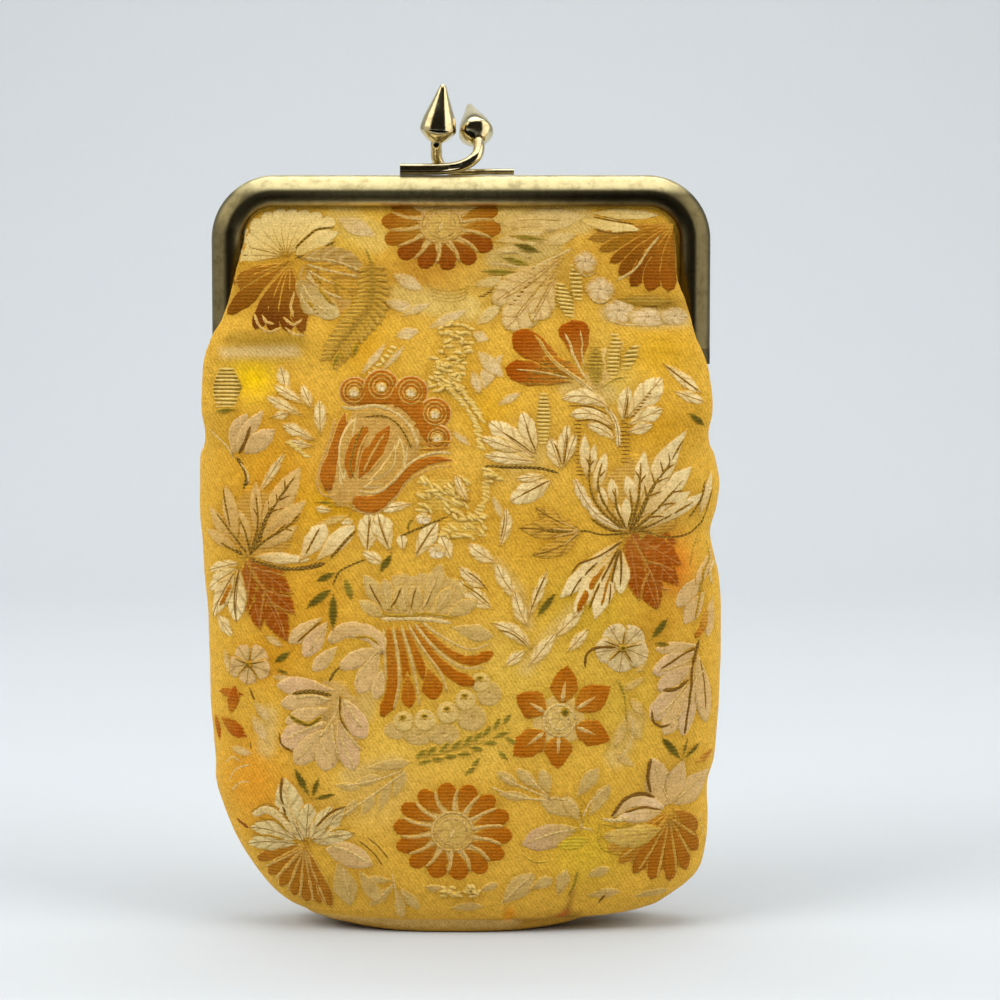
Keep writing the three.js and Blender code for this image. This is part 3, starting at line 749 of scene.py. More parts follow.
def grain_tone_and_light(tree, vector, wave, strength):
    """The grain's height from 0 to 1, and what it multiplies a dye by: browner low as painted shade, paler
    high as painted highlight, over the yarns' own mottling.
    """
    fine = calc(tree, "SUBTRACT", noise(tree, vector, 3.0, 2.0, 0.7), 0.5)
    broad = calc(tree, "SUBTRACT", noise(tree, vector, 0.9, 3.0, 0.6), 0.5)
    level = calc(tree, "MULTIPLY_ADD", fine, 1.35, calc(tree, "MULTIPLY_ADD", broad, 0.9, 0.5))
    level = calc(tree, "MULTIPLY_ADD", wave, strength, level)
    level = calc(tree, "MINIMUM", calc(tree, "MAXIMUM", level, 0.0), 1.0)
    return level, blend_colours(tree, level, GRAIN_HOLLOW_SHADE, GRAIN_CREST_LIGHT)


def cloth_finish(shader, sheen, specular):
    """The faint sheen of brocade, in its tint, and how strongly its threads shine."""
    shader.inputs["Sheen Weight"].default_value = 0.06
    shader.inputs["Sheen Roughness"].default_value = 0.4
    shader.inputs["Sheen Tint"].default_value = rgba(sheen)
    shader.inputs["Specular IOR Level"].default_value = specular


def ground_material():
    """Golden yellow twill, paler where the threads ride up as a painted highlight and browner in its
    hollows as painted shade, warmer and greener in patches.
    """
    material, tree, shader = new_material("brocade_ground")
    vector, s, t = cloth_coordinates(tree)
    wave = twill_wave(tree, vector, s, t, THREAD_PITCH, TWILL_LEAN)
    base = stored(tree, "tint")
    level, tint = grain_tone_and_light(tree, vector, wave, 0.09)
    feed(tree, shader.inputs["Base Color"], blend_colours(tree, 1.0, base, tint, "MULTIPLY"))
    bump = add(tree, "Bump", {"Height": level, "Distance": 0.00012, "Strength": 0.8})
    feed(tree, shader.inputs["Normal"], bump.outputs[0])
    feed(tree, shader.inputs["Roughness"], remap(tree, level, 0.1, 0.9, 0.75, 0.55))
    cloth_finish(shader, "FFE9A8", 0.07)
    return material


def attribute_parts(tree, name):
    return add(tree, "SeparateXYZ", {"Vector": stored(tree, name, "Vector")}).outputs


def drawn_lines(tree):
    """Where a motif's outline, middle line and side veins run, and how far its notched edge is."""
    u, v, half = attribute_parts(tree, "petal")
    rim, rib, veins = attribute_parts(tree, "drawing")
    side = calc(tree, "ABSOLUTE", v)
    inward = times(tree, calc(tree, "SUBTRACT", 1.0, side), half)
    rim_end = calc(tree, "MULTIPLY_ADD", rim, 1.2, 0.01)
    outline = remap(tree, inward, times(tree, rim, 0.7), rim_end, 1.0, 0.0)
    beside = times(tree, side, half)
    rib_end = calc(tree, "MULTIPLY_ADD", rib, 1.3, 0.01)
    middle = remap(tree, beside, times(tree, rib, 0.6), rib_end, 1.0, 0.0)
    phase = calc(tree, "SUBTRACT", times(tree, u, veins), times(tree, side, 0.9))
    across = calc(tree, "ABSOLUTE", calc(tree, "SUBTRACT", calc(tree, "FRACT", phase), 0.5))
    vein = times(tree, remap(tree, across, 0.3, 0.46), calc(tree, "GREATER_THAN", veins, 0.5))
    lines = calc(tree, "MAXIMUM", calc(tree, "MAXIMUM", outline, middle), times(tree, vein, 0.5))
    return lines, calc(tree, "MULTIPLY_ADD", vein, -0.16, inward)


def silk_material():
    """Raised silk: each motif's own colour and lines, with level weft that shows most on dark dyes, painted
    lighter on its crests and darker in its hollows.
    """
    material, tree, shader = new_material("brocade_silk")
    vector, _, t = cloth_coordinates(tree)
    lines, inward = drawn_lines(tree)
    fill, trim, ground = (stored(tree, name) for name in ("fill", "trim", "tint"))
    threads = noise(tree, vector, 3.4, 2.0, 0.7)
    fade = stored(tree, "fade", "Fac")
    stray = calc(tree, "SUBTRACT", threads, 0.5)
    frayed = calc(tree, "MULTIPLY_ADD", stray, calc(tree, "ADD", fade, 0.15), inward)
    solid = remap(tree, frayed, 0.0, calc(tree, "ADD", fade, 0.02))
    base = blend_colours(tree, solid, ground, blend_colours(tree, lines, fill, trim))
    uneven = times(tree, noise(tree, vector, 1.3, 2.0), 3.0)
    weft = calc(tree, "SINE", calc(tree, "MULTIPLY_ADD", t, 2 * math.pi / THREAD_PITCH, uneven))
    blue = add(tree, "SeparateColor", {"Color": base}).outputs[2]
    level, tint = grain_tone_and_light(tree, vector, weft, remap(tree, blue, 0.02, 0.12, 0.22, 0.04))
    feed(tree, shader.inputs["Base Color"], blend_colours(tree, 1.0, base, tint, "MULTIPLY"))
    sunk = calc(tree, "MULTIPLY_ADD", lines, -0.5, level)
    bump = add(tree, "Bump", {"Height": sunk, "Distance": 0.00014, "Strength": 0.9})
    feed(tree, shader.inputs["Normal"], bump.outputs[0])
    feed(tree, shader.inputs["Roughness"], remap(tree, level, 0.1, 0.9, 0.72, 0.5))
    cloth_finish(shader, "FFEFC8", 0.03)
    return material


def gold_material():
    """Gilt thread with painted glints in random spots, and painted shade where it turns down."""
    material, tree, shader = new_material("gilt_thread")
    vector, _, _ = cloth_coordinates(tree)
    v = attribute_parts(tree, "petal")[1]
    painted_turn_shade = remap(tree, calc(tree, "ABSOLUTE", v), 0.3, 0.95)
    fill = stored(tree, "fill")
    # Painted glints in random spots over the thread's fill
    glint = remap(tree, noise(tree, vector, 1.6, 3.0, 0.7), 0.35, 0.65)
    bright = blend_colours(tree, glint, fill, rgba("F0D07C"))
    feed(tree, shader.inputs["Base Color"], blend_colours(tree, painted_turn_shade, bright, rgba("BE9638")))
    shader.inputs["Roughness"].default_value = 0.45
    shader.inputs["Specular IOR Level"].default_value = 0.2
    return material


# Where a painted dark reflection lies on the inner side of the frame's legs and bar, in metres
LEG_DARK_X = (0.0366, 0.0380)
LEG_DARK_Z = (0.1095, 0.1140)
BAR_DARK_Z = (0.1154, 0.1168)
BAR_DARK_RIGHT = (-0.004, 0.026)
BAR_DARK_LEFT = (-0.012, -0.034)


def painted_inner_darkness(tree, place):
    """How much painted dark reflection lies along the inner side of the frame's legs and corners, from 0 to
    1.
    """
    x, _, z = add(tree, "SeparateXYZ", {"Vector": place}).outputs
    aside = calc(tree, "ABSOLUTE", x)
    leg_below = remap(tree, z, *LEG_DARK_Z, 1.0, 0.0)
    leg = times(tree, remap(tree, aside, *LEG_DARK_X, 1.0, 0.0), leg_below)
    bar_below = remap(tree, z, *BAR_DARK_Z, 1.0, 0.0)
    bar = times(tree, bar_below, remap(tree, x, *BAR_DARK_RIGHT))
    corner = times(tree, bar_below, remap(tree, x, *BAR_DARK_LEFT, 0.0, 0.8))
    return calc(tree, "MAXIMUM", leg, calc(tree, "MAXIMUM", bar, corner))


def brass_material(name, dark, bright, polish, painted_darkening=False):
    """Aged brass: darker where tarnish sits at random, with fine scratches, and where asked a painted dark
    reflection along the frame's inner side.
    """
    material, tree, shader = new_material(name)
    place = add(tree, "TexCoord", {}).outputs["Object"]
    tarnish = times(tree, remap(tree, noise(tree, place, 500.0, 6.0, 0.7), 0.42, 0.75), 0.5)
    shade = blend_colours(tree, tarnish, rgba(bright), rgba(dark))
    if painted_darkening:
        # Painted dark reflection along the inner side of the frame's legs and bar
        inner = times(tree, painted_inner_darkness(tree, place), 0.8)
        shade = blend_colours(tree, inner, shade, rgba("20190C"))
    feed(tree, shader.inputs["Base Color"], shade)
    shader.inputs["Metallic"].default_value = 1.0
    grain = noise(tree, place, 2400.0, 4.0, 0.7)
    rough = calc(tree, "MULTIPLY_ADD", grain, 0.16, calc(tree, "MULTIPLY_ADD", tarnish, 0.1, polish))
    feed(tree, shader.inputs["Roughness"], rough)
    bump = add(tree, "Bump", {"Height": grain, "Distance": 0.00003, "Strength": 0.5})
    feed(tree, shader.inputs["Normal"], bump.outputs[0])
    return material


# The frame


def channel_outline(filled):
    """The section of a half frame: inwards from the outer edge, and away from the closing plane."""
    crown = np.array([
        (0.0, 2.6), (0.06, 3.0), (0.2, 3.4), (0.45, 3.78), (0.8, 4.12), (1.25, 4.45), (1.75, 4.76),
        (2.2, 5.0), (2.5, 5.13), (2.75, 5.19), (3.05, 5.2),
    ])
    start = np.array([(0.35, 0.3), (0.12, 0.38), (0.02, 0.62)])
    roll = np.array([(3.4, 5.12), (3.85, 4.95), (4.25, 4.73), (4.62, 4.45), (4.85, 4.15), (4.9, 3.9)])
    cavity = [(4.85, 3.65), (3.9, 3.65), (3.9, 4.2), (2.6, 4.5), (1.6, 4.1), (0.8, 2.9), (0.8, 1.1)]
    cavity += [(3.9, 1.1), (3.9, 1.75), (BAND, 1.75)]
    end = np.array([(BAND, 0.55), (4.7, 0.3)])
    return np.concatenate([start, crown, roll] + ([] if filled else [np.array(cavity)]) + [end])


# Steps of the frame's mesh along each leg and corner and half of the top
LEG_STEPS = 10
CORNER_STEPS = 25
TOP_STEPS = 20


def frame_path():
    """Points of the frame's outer edge over the top, and the direction inwards at each."""
    turn = np.linspace(0, math.pi / 2, CORNER_STEPS)
    arc = np.column_stack([np.cos(turn), np.sin(turn)])
    middle = np.array([FRAME_HALF - CORNER, FRAME_TOP - CORNER])
    right = middle + CORNER * arc
    rise = np.linspace(LEG_END, FRAME_TOP - CORNER, LEG_STEPS, endpoint=False)
    leg = np.column_stack([np.full(LEG_STEPS, FRAME_HALF), rise])
    aside = np.linspace(FRAME_HALF - CORNER, 0, TOP_STEPS + 1)[1:]
    top = np.column_stack([aside, np.full(TOP_STEPS, FRAME_TOP)])
    half = np.concatenate([leg, right, top])
    from_leg = np.tile((-1.0, 0.0), (LEG_STEPS, 1))
    from_top = np.tile((0.0, -1.0), (TOP_STEPS, 1))
    inward = np.concatenate([from_leg, -arc, from_top])
    other = half[:-1][::-1] * (-1, 1)
    return np.concatenate([half, other]), np.concatenate([inward, inward[:-1][::-1] * (-1, 1)])


def swept(rings):
    """Points and faces of a solid skin over closed rings of points, with flat ends."""
    count, around = rings.shape[:2]
    faces = grid_faces(count, around, closed=True).tolist()
    faces.append(list(range(around)))
    faces.append(list(range((count - 1) * around, count * around))[::-1])
    return rings.reshape(-1, 3), faces


def joined(parts):
    """Several sets of points and faces as one."""
    points, faces, first = [], [], 0
    for some, theirs in parts:
        points.append(some)
        faces += [[i + first for i in face] for face in theirs]
        first += len(some)
    return np.concatenate(points), faces


def outward(points, faces):
    """The faces, all turned over if they enclose their volume inside out."""
    volume = 0.0
    for face in faces:
        first, *rest = points[list(face)]
        volume += sum(np.dot(first, np.cross(a, b)) for a, b in zip(rest, rest[1:]))
    return faces if volume > 0 else [list(f)[::-1] for f in faces]


def hinge_ear(side, outer, facing):
    """A plate at a leg's end with a rivet hole, in two halves that meet above and below the hole."""
    turn = np.linspace(0, math.pi, 17)
    half_turn = np.linspace(-math.pi / 2, math.pi / 2, 13)
    high = LEG_END + END_BLOCK
    near = [(0, HINGE_Z + EAR_NOTCH), (GAP + 0.1, LEG_END), (GAP + 0.1, high)]
    near += [(EAR_REACH, high), (EAR_REACH, LEG_END)]
    rim = [(EAR_RADIUS * math.cos(a), HINGE_Z - EAR_RADIUS * math.sin(a)) for a in turn]
    hole = [(EAR_HOLE * math.cos(a), HINGE_Z + EAR_HOLE * math.sin(a)) for a in half_turn]
    right = near + rim[:9] + hole
    left = rim[8:] + [near[0]] + [(-y, z) for y, z in hole[::-1]]
    start = outer - EAR_THICK if side > 0 else -outer
    parts = []
    for outline in (right, left):
        rings = np.array([[(x, facing * y, z) for y, z in outline] for x in (start, start + EAR_THICK)])
        points, faces = swept(rings)
        parts.append((points, outward(points, faces)))
    return joined(parts)


def half_frame(name, facing, ear_outer, material):
    edge, inward = frame_path()

    def carried(outline, edge, inward):
        flat = edge[:, None, :] + inward[:, None, :] * outline[None, :, :1]
        depth = np.broadcast_to(facing * outline[None, :, 1], flat.shape[:2])
        return np.stack([flat[..., 0], depth, flat[..., 1]], -1)

    points, faces = swept(carried(channel_outline(False), edge, inward))
    parts = [(points, outward(points, faces))]
    for side in (1, -1):
        ends = np.array([(side * FRAME_HALF, LEG_END - 0.02), (side * FRAME_HALF, LEG_END + END_BLOCK)])
        points, faces = swept(carried(channel_outline(True), ends, np.tile((-side, 0.0), (2, 1))))
        parts.append((points, outward(points, faces)))
        parts.append(hinge_ear(side, ear_outer, facing))
    return mesh_object(name, *joined(parts), material, sharp=38)


def lathe(outline, sides):
    """Points and faces of a turned solid: outline holds radius and distance along +Z."""
    turn = np.linspace(0, 2 * math.pi, sides, endpoint=False)
    rings = [[(r * math.cos(a), r * math.sin(a), h) for a in turn] for r, h in outline]
    points, faces = swept(np.array(rings))
    return points, outward(points, faces)


def turned_to(points, axis, base):
    """Points made along +Z, turned to an axis and moved to its base."""
    turn = np.array(Vector((0, 0, 1)).rotation_difference(Vector(axis)).to_matrix())
    return points @ turn.T + np.asarray(base)


def hinge_rivet(name, side, material):
    low = EAR_OUTER["back"] - EAR_THICK - GAP
    high = EAR_OUTER["front"] + GAP
    dome = [(RIVET_RADIUS * math.cos(a), high + RIVET_HEAD * math.sin(a)) for a in np.linspace(0.1, 1.5, 8)]
    inner = [(0.05, low - RIVET_HEAD), (1.2, low - RIVET_HEAD), (1.55, low - 0.5), (1.65, low)]
    outline = inner + [(PIN_RADIUS, low), (PIN_RADIUS, high), (RIVET_RADIUS, high)] + dome
    points, faces = lathe(outline, 32)
    return mesh_object(name, turned_to(points, (side, 0, 0), (0, 0, HINGE_Z)), faces, material, sharp=40)


# The kiss lock

# The strips' height and breadth, the stems' radius, the shares of the length between which a strip
# narrows into its stem, the groove along its outer side, and the steps of the meshes
ARM_FOOT = FRAME_TOP + GAP
ARM_WIDE = 2.6
STEM = 0.9
ARM_NARROWS = (0.3, 0.85)
ARM_GROOVE = 0.4
GROOVE_WIDE = 0.3
ARM_STATIONS = 61
ARM_SIDES = 28
KNOB_SIDES = 48

# Which half it is on, how thick its strip is, where the strip and stem run over the frame, and the
# knob's foot, direction and size
Clasp = namedtuple("Clasp", "facing thick route base axis size")
FRONT_CLASP = Clasp(
    facing=-1,
    thick=1.8,
    route=[
        (-9.5, -2.2, 0.65), (-5.5, -2.2, 0.65), (-1.8, -2.2, 0.8), (0.6, -2.1, 1.4), (2.3, -1.6, 2.6),
        (2.8, -0.7, 4.0),
    ],
    base=(2.65, 0.4, 124.3),
    axis=(-0.17, 0.69, 0.7),
    size=0.95,
)
BACK_CLASP = Clasp(
    facing=1,
    thick=1.0,
    route=[
        (8.3, 2.2, 0.5), (4.0, 2.2, 0.5), (-0.5, 2.2, 0.5), (-2.9, 1.9, 1.1), (-3.8, 1.3, 2.4),
        (-3.9, 0.6, 3.8),
    ],
    base=(-3.85, 0.0, 124.0),
    axis=(0.12, -0.08, 1),
    size=1.0,
)
KNOB_OUTLINE = [
    (0.02, 0), (1.2, 0), (1.5, 0.25), (2.0, 0.65), (2.6, 1.3), (2.82, 1.65), (2.87, 1.9), (2.85, 2.2),
    (2.72, 2.9), (2.46, 3.9), (1.84, 5.4), (1.05, 7.3), (0.66, 8.35), (0.5, 8.75), (0.3, 8.98), (0.02, 9.1),
]


def arm_rings(parts, axis, base):
    """Rings along a strip that lies on the frame, grooved outside, and bends up into a round stem."""
    route = [np.array(p) + (0, 0, ARM_FOOT) for p in parts.route] + [base - 0.3 * axis, base + 0.6 * axis]
    route = np.array(route)
    run = running_length(route)
    centre = through(run, route, np.linspace(0, run[-1], ARM_STATIONS))
    ahead = unit(np.gradient(centre, axis=0))
    across = unit(np.array([0, parts.facing, 0]) - parts.facing * ahead[:, 1:2] * ahead)
    up = unit(np.cross(ahead, across))
    narrow = smooth(*ARM_NARROWS, np.linspace(0, 1, ARM_STATIONS)[:, None])
    turn = (np.arange(ARM_SIDES) + 0.5) / ARM_SIDES * 2 * math.pi
    square = mix(0.75, 1.0, narrow)
    p = np.sign(np.cos(turn)) * np.abs(np.cos(turn)) ** square
    q = np.sign(np.sin(turn)) * np.abs(np.sin(turn)) ** square
    groove = ARM_GROOVE * np.exp(-((q / GROOVE_WIDE) ** 2)) * (p > 0.3) * (1 - narrow)
    wide = mix(ARM_WIDE / 2, STEM, narrow) * (p - groove)
    high = mix(parts.thick / 2, STEM, narrow) * q
    return centre[:, None] + across[:, None] * wide[..., None] + up[:, None] * high[..., None]


def clasp(name, parts, material):
    """A strip with its stem, and a pointed knob on it."""
    axis = unit(np.array(parts.axis, float))
    base = np.array(parts.base, float)
    points, faces = swept(arm_rings(parts, axis, base))
    knob_points, knob_faces = lathe(parts.size * np.array(KNOB_OUTLINE), KNOB_SIDES)
    knob = (turned_to(knob_points, axis, base), knob_faces)
    return mesh_object(name, *joined([(points, outward(points, faces)), knob]), material, sharp=35)


# The brocade's motifs

# How a motif is woven: colours at its tip and root and of its lines, breadths of its outline and
# its middle line, side veins in 10 mm, how far its edge fades into the ground, and its height
Weave = namedtuple("Weave", "fill root trim rim rib veins fade lift")
Patch = namedtuple("Patch", "places petal top weave closed")

CREAM = Weave("F2D696", "DEB66C", "A47C38", 0, 0.13, 5, 0.4, 0.12)
PLAIN = Weave("F2D898", "E6C278", "C0924A", 0, 0.08, 5, 0.4, 0.12)
FADED = Weave("DCB668", "D8AE5C", "D8AE5C", 0, 0, 0, 0.7, 0.05)
FAN = Weave("F0D48A", "E6C26C", "BC9444", 0.14, 0, 0, 0.3, 0.06)
EDGED = Weave("DCB474", "D4AC68", "F0D498", 0.3, 0, 0, 0.38, 0.12)
DULL = Weave("D2AE64", "CDA85A", "E6CA84", 0.26, 0, 0, 0.5, 0.08)
LOOP = Weave("CFA04C", "CFA04C", "E8C880", 0.42, 0, 0, 0.15, 0.1)
GREY = Weave("B8924A", "C09A50", "DCC080", 0.1, 0, 5, 0.45, 0.08)
OCHRE = Weave("CE9C38", "CE9C38", "86601C", 0.24, 0.1, 4, 0.2, 0.05)
ORANGE = Weave("B4660C", "BC761C", "DDAA66", 0, 0, 0, 0.4, 0.08)
PIPED = Weave("B86C18", "B86C18", "DEB270", 0.36, 0, 0, 0.25, 0.1)
STRIPED = Weave("A8620E", "B87A20", "D49C3C", 0.3, 0, 0, 0.3, 0.1)
AMBER = Weave("C27C20", "D09838", "E0B060", 0.2, 0, 0, 0.25, 0.07)
BUD = Weave("A85408", "C4842C", "C4842C", 0, 0, 0, 0.5, 0.07)
MAPLE = Weave("A05008", "AC641C", "B87434", 0, 0.1, 8, 0.6, 0.06)
GREEN = Weave("665616", "76661E", "9A8638", 0, 0, 0, 0.5, 0.07)
OLIVE = Weave("8A7622", "98842C", "B59E48", 0, 0, 0, 0.5, 0.07)
BROWN = Weave("805A20", "805A20", "A8803A", 0, 0, 0, 0.12, 0.15)
STITCH = Weave("6C521C", "6C521C", "CDA850", 0, 0, 14, 0.12, 0.15)
CORD = Weave("E8CA86", "E8CA86", "C89C50", 0, 0, 12, 0.12, 0.18)
GOLD = Weave("E4BA52", "D8AA42", "D9BC62", 0, 0, 0, 0.0, 0.24)
# Painted shade laid under gold threads and leaflets
SHADOW_BED = Weave("B08830", "B08830", "B08830", 0, 0, 0, 0.9, 0.02)

LEAF_ROWS = 11
LEAF_COLUMNS = 6
DISC_SIDES = 20
DISC_RINGS = 5

# How much broader leaves with a rib are woven than charted, how uneven edges are, and the least
# half breadth
RIBBED_FULLNESS = 1.18
RAGGED = 0.06
LEAST_HALF = 0.04

# How far a motif lies over what is below it, how deep its edge and its floor are in the cloth, and
# its least height over the floor
OVER = 0.025
SUNK = 0.06
UNDER = 0.12
LEAST_Z = 0.02

# Heights between which motifs sink away, where the frame takes the cloth
UNDER_FRAME = (114.4, 112.6)

# The chart of heights so far: its lowest place on the cloth, its cell and its cells up and across
HEIGHT_LOW = np.array([-60.0, -10.0])
HEIGHT_CELL = 0.25
HEIGHT_CELLS = (600, 480)


def dyed(weave, fill, root=None, **other):
    """A weave in another dye, which its root has too unless that is given."""
    return weave._replace(fill=fill, root=root or fill, **other)


# Weaves that several motifs share
AMBER_CORD = dyed(CORD, "DAAA5C")
TAN_CORD = dyed(CORD, "DDB468")
MAPLE_VEIN = dyed(CORD, "BE7A40", lift=0.12)
BARE_CREAM = CREAM._replace(rib=0, veins=0)
PALE_DOT = PLAIN._replace(fill="F0D8A8")
STRAY = dyed(FADED, "E2C48A", "DCB870")
THIN_PIPED = PIPED._replace(rim=0.2)
BARE_PIPED = PIPED._replace(rim=0)
BARE_AMBER = AMBER._replace(rim=0)
ROSE = EDGED._replace(fill="E0BC86")


class Brocade:
    """Motifs as low raised patches, charted in millimetres across and up, where the front shows them."""

    def __init__(self, panel):
        self.panel = panel
        self.shown = as_seen(panel.points)
        self.silk = []
        self.gold = []
        self.heights = np.zeros(HEIGHT_CELLS)
        self.chance = np.random.default_rng(CHART_SEED)

    def cloth(self, *seen):
        return place_on_cloth(self.panel, self.shown, seen)

    def cells(self, places):
        at = np.rint((places - HEIGHT_LOW) / HEIGHT_CELL).astype(int)
        return tuple(np.clip(at[..., k], 0, HEIGHT_CELLS[1 - k] - 1) for k in (1, 0))

    def lay(self, weave, places, petal, rise, closed=False):
        """Adds a patch over those that lie there already, and notes how high the brocade is now."""
        top = self.heights[self.cells(places)] + OVER + weave.lift * rise
        bed = self.gold if weave is GOLD else self.silk
        bed.append(Patch(places, petal, top, weave, closed))
        field = np.concatenate([places, top[..., None]], -1)
        if closed:
            field = np.concatenate([field, field[:, :1]], 1)
        for axis in (0, 1):
            count = field.shape[axis]
            at = np.linspace(0, count - 1, 5 * count - 4)
            low = np.minimum(at.astype(int), count - 2)
            share = (at - low).reshape((-1, 1, 1) if axis == 0 else (1, -1, 1))
            field = mix(np.take(field, low, axis), np.take(field, low + 1, axis), share)
        np.maximum.at(self.heights, self.cells(field[..., :2]), field[..., 2])

    def strip(self, weave, centre, half, columns):
        """A patch along a line of cloth places, with its half width at each."""
        wobble = 1 + RAGGED * self.chance.standard_normal(len(half))
        half = np.maximum(half * wobble, LEAST_HALF)
        ahead = unit(np.gradient(centre, axis=0))
        aside = np.stack([-ahead[:, 1], ahead[:, 0]], 1)
        v = np.linspace(-1, 1, columns)
        places = centre[:, None] + aside[:, None] * (half[:, None] * v)[..., None]
        u = np.linspace(0, 1, len(centre))
        petal = np.stack(np.broadcast_arrays(u[:, None], v[None], half[:, None]), -1)
        rise = np.sqrt(1 - v ** 2)[None] * np.clip(half / 0.7, 0.35, 1)[:, None]
        veins = weave.veins * running_length(centre)[-1] / 10
        self.lay(weave._replace(veins=veins) if veins else weave, places, petal, rise)

    def leaf(self, weave, base, tip, wide, bend=0.0, belly=0.5, round_=0.8):
        start, end = self.cloth(base, tip)
        u = np.linspace(0, 1, LEAF_ROWS)
        u = mix(u, (1 - np.cos(u * math.pi)) / 2, 0.6)
        way = end - start
        side = np.array([-way[1], way[0]])
        centre = start + u[:, None] * way + (4 * bend * u * (1 - u))[:, None] * side
        swell = np.sin(math.pi * u ** (math.log(0.5) / math.log(belly)))
        full = RIBBED_FULLNESS if weave.rib else 1.0
        self.strip(weave, centre, full * wide / 2 * np.maximum(swell, 0) ** round_, LEAF_COLUMNS)

    def leaves(self, weave, base, *tips, **form):
        """Leaves from one base: each is its tip's x and z, its breadth and, if it bends, its bend."""
        for x, z, wide, *bend in tips:
            self.leaf(weave, base, (x, z), wide, *bend, **form)

    def scatter(self, weave, *rows, **form):
        """Leaves, each a row: x and z of its base and its tip, its breadth and, if it bends, its bend."""
        for x, z, *rest in rows:
            self.leaves(weave, (x, z), rest, **form)

    def line(self, weave, wide, *points, taper=0.5):
        """A band through points; wide is its breadth, or its breadth at the start and the end."""
        route = self.cloth(*points)
        run = running_length(route)
        count = max(5, int(run[-1] / 0.8) + 2)
        centre = through(run, route, np.linspace(0, run[-1], count))
        u = np.linspace(0, 1, count)
        first, last = wide if isinstance(wide, tuple) else (wide, wide)
        ends = np.clip(np.minimum(u, 1 - u) * run[-1] / (0.6 * max(first, last, 0.5)), 0, 1) ** taper
        half = mix(first, last, u) / 2 * np.maximum(ends, 0.45)
        self.strip(weave, centre, half, 5 if first + last > 2.5 else 3)

    def lines(self, weave, wide, *rows, **form):
        """Bands of one breadth, each a row: x and z of the points it goes through, in turn."""
        for row in rows:
            self.line(weave, wide, *zip(row[::2], row[1::2]), **form)

    def disc(self, weave, middle, wide, high=None):
        centre = self.cloth(middle)[0]
        r = np.linspace(0.02, 1, DISC_RINGS)[:, None]
        turn = np.linspace(0, 2 * math.pi, DISC_SIDES, endpoint=False)[None]
        reach = np.array([wide, high or wide])
        places = centre + np.stack([r * np.cos(turn), r * np.sin(turn)], -1) * reach
        half = np.full(places.shape[:2], reach.mean())
        petal = np.stack(np.broadcast_arrays(turn / (2 * math.pi), r, half), -1)
        rise = np.sqrt(1 - r ** 2) + 0 * turn
        self.lay(weave, places, petal, rise, closed=True)

    def float_thread(self, middle, length, wide=0.38, lean=0.0, weave=GOLD):
        """One short thread that lies over the weave."""
        centre = self.cloth(middle)[0] if isinstance(middle, tuple) else middle
        way = np.array([math.cos(lean), math.sin(lean)]) * length / 2
        places = centre + np.linspace(-1, 1, 5)[:, None] * way
        self.strip(weave, places, wide / 2 * np.array([0.5, 0.95, 1, 0.95, 0.5]), 3)

    def ladder(self, base, tip, wide, bars, weave=GOLD, lean=0.0):
        """Level threads one over another on a bed of painted shade, shorter towards both ends."""
        self.leaf(dyed(SHADOW_BED, "94762A"), base, tip, 1.3 * wide, round_=0.5)
        start, end = self.cloth(base, tip)
        for share in (np.arange(bars) + 0.5) / bars:
            length = wide * (0.55 + 0.45 * math.sin(math.pi * share))
            self.float_thread(mix(start, end, share), length, 0.5, lean, weave)

    def clump(self, low, high, count, length=1.5, lean_to=-0.15):
        """Loose gold threads scattered over a patch, most of them at one lean."""
        middle = tuple(mix(a, b, 0.5) for a, b in zip(low, high))
        wide, tall = ((b - a) / 1.8 for a, b in zip(low, high))
        # A faint bed of painted shade under the threads
        self.disc(dyed(SHADOW_BED, "DAAE48", fade=1.6), middle, wide, tall)
        for _ in range(count):
            x, z = (self.chance.uniform(a, b) for a, b in zip(low, high))
            lean = self.chance.normal(lean_to, 0.3)
            self.float_thread((x, z), length * self.chance.uniform(0.6, 1.2), 0.72, lean)

    def dashes(self, weave, step, length, *points):
        """Short threads one after another along a line."""
        route = self.cloth(*points)
        run = running_length(route)
        places = through(run, route, np.arange(step / 2, run[-1], step))
        for place in places:
            lean = self.chance.normal(-0.35, 0.3)
            self.float_thread(place, length, 0.7, lean, weave)

    def fern(self, weave, count, reach, wide, *points, lean=(0.15, 0.9)):
        """Leaflets on both sides of a stem, leaning forward more and more, on a bed of painted shade."""
        self.line(SHADOW_BED, 1.8 * reach, *points)
        route = self.cloth(*points)
        run = running_length(route)
        share = np.linspace(0.03, 0.98, count)
        stem = through(run, route, share * run[-1])
        ahead = unit(np.gradient(stem, axis=0))
        for place, way, u in zip(stem, ahead, share):
            size = reach * (0.7 + 0.3 * math.sin(math.pi * u))
            for side in (1, -1):
                out = unit(way * mix(*lean, u) + side * np.array([-way[1], way[0]]))
                centre = place + np.linspace(0.1, 1, 6)[:, None] * out * size
                self.strip(weave, centre, wide / 2 * np.array([0.5, 0.95, 1, 1, 0.85, 0.4]), 3)

    def ticks(self, weave, wide, *points, step=0.6):
        """A line of level stitches one over another."""
        route = self.cloth(*points)
        run = running_length(route)
        for place in through(run, route, np.arange(step / 2, run[-1], step)):
            self.float_thread(place, wide, 0.32, 0.0, weave)


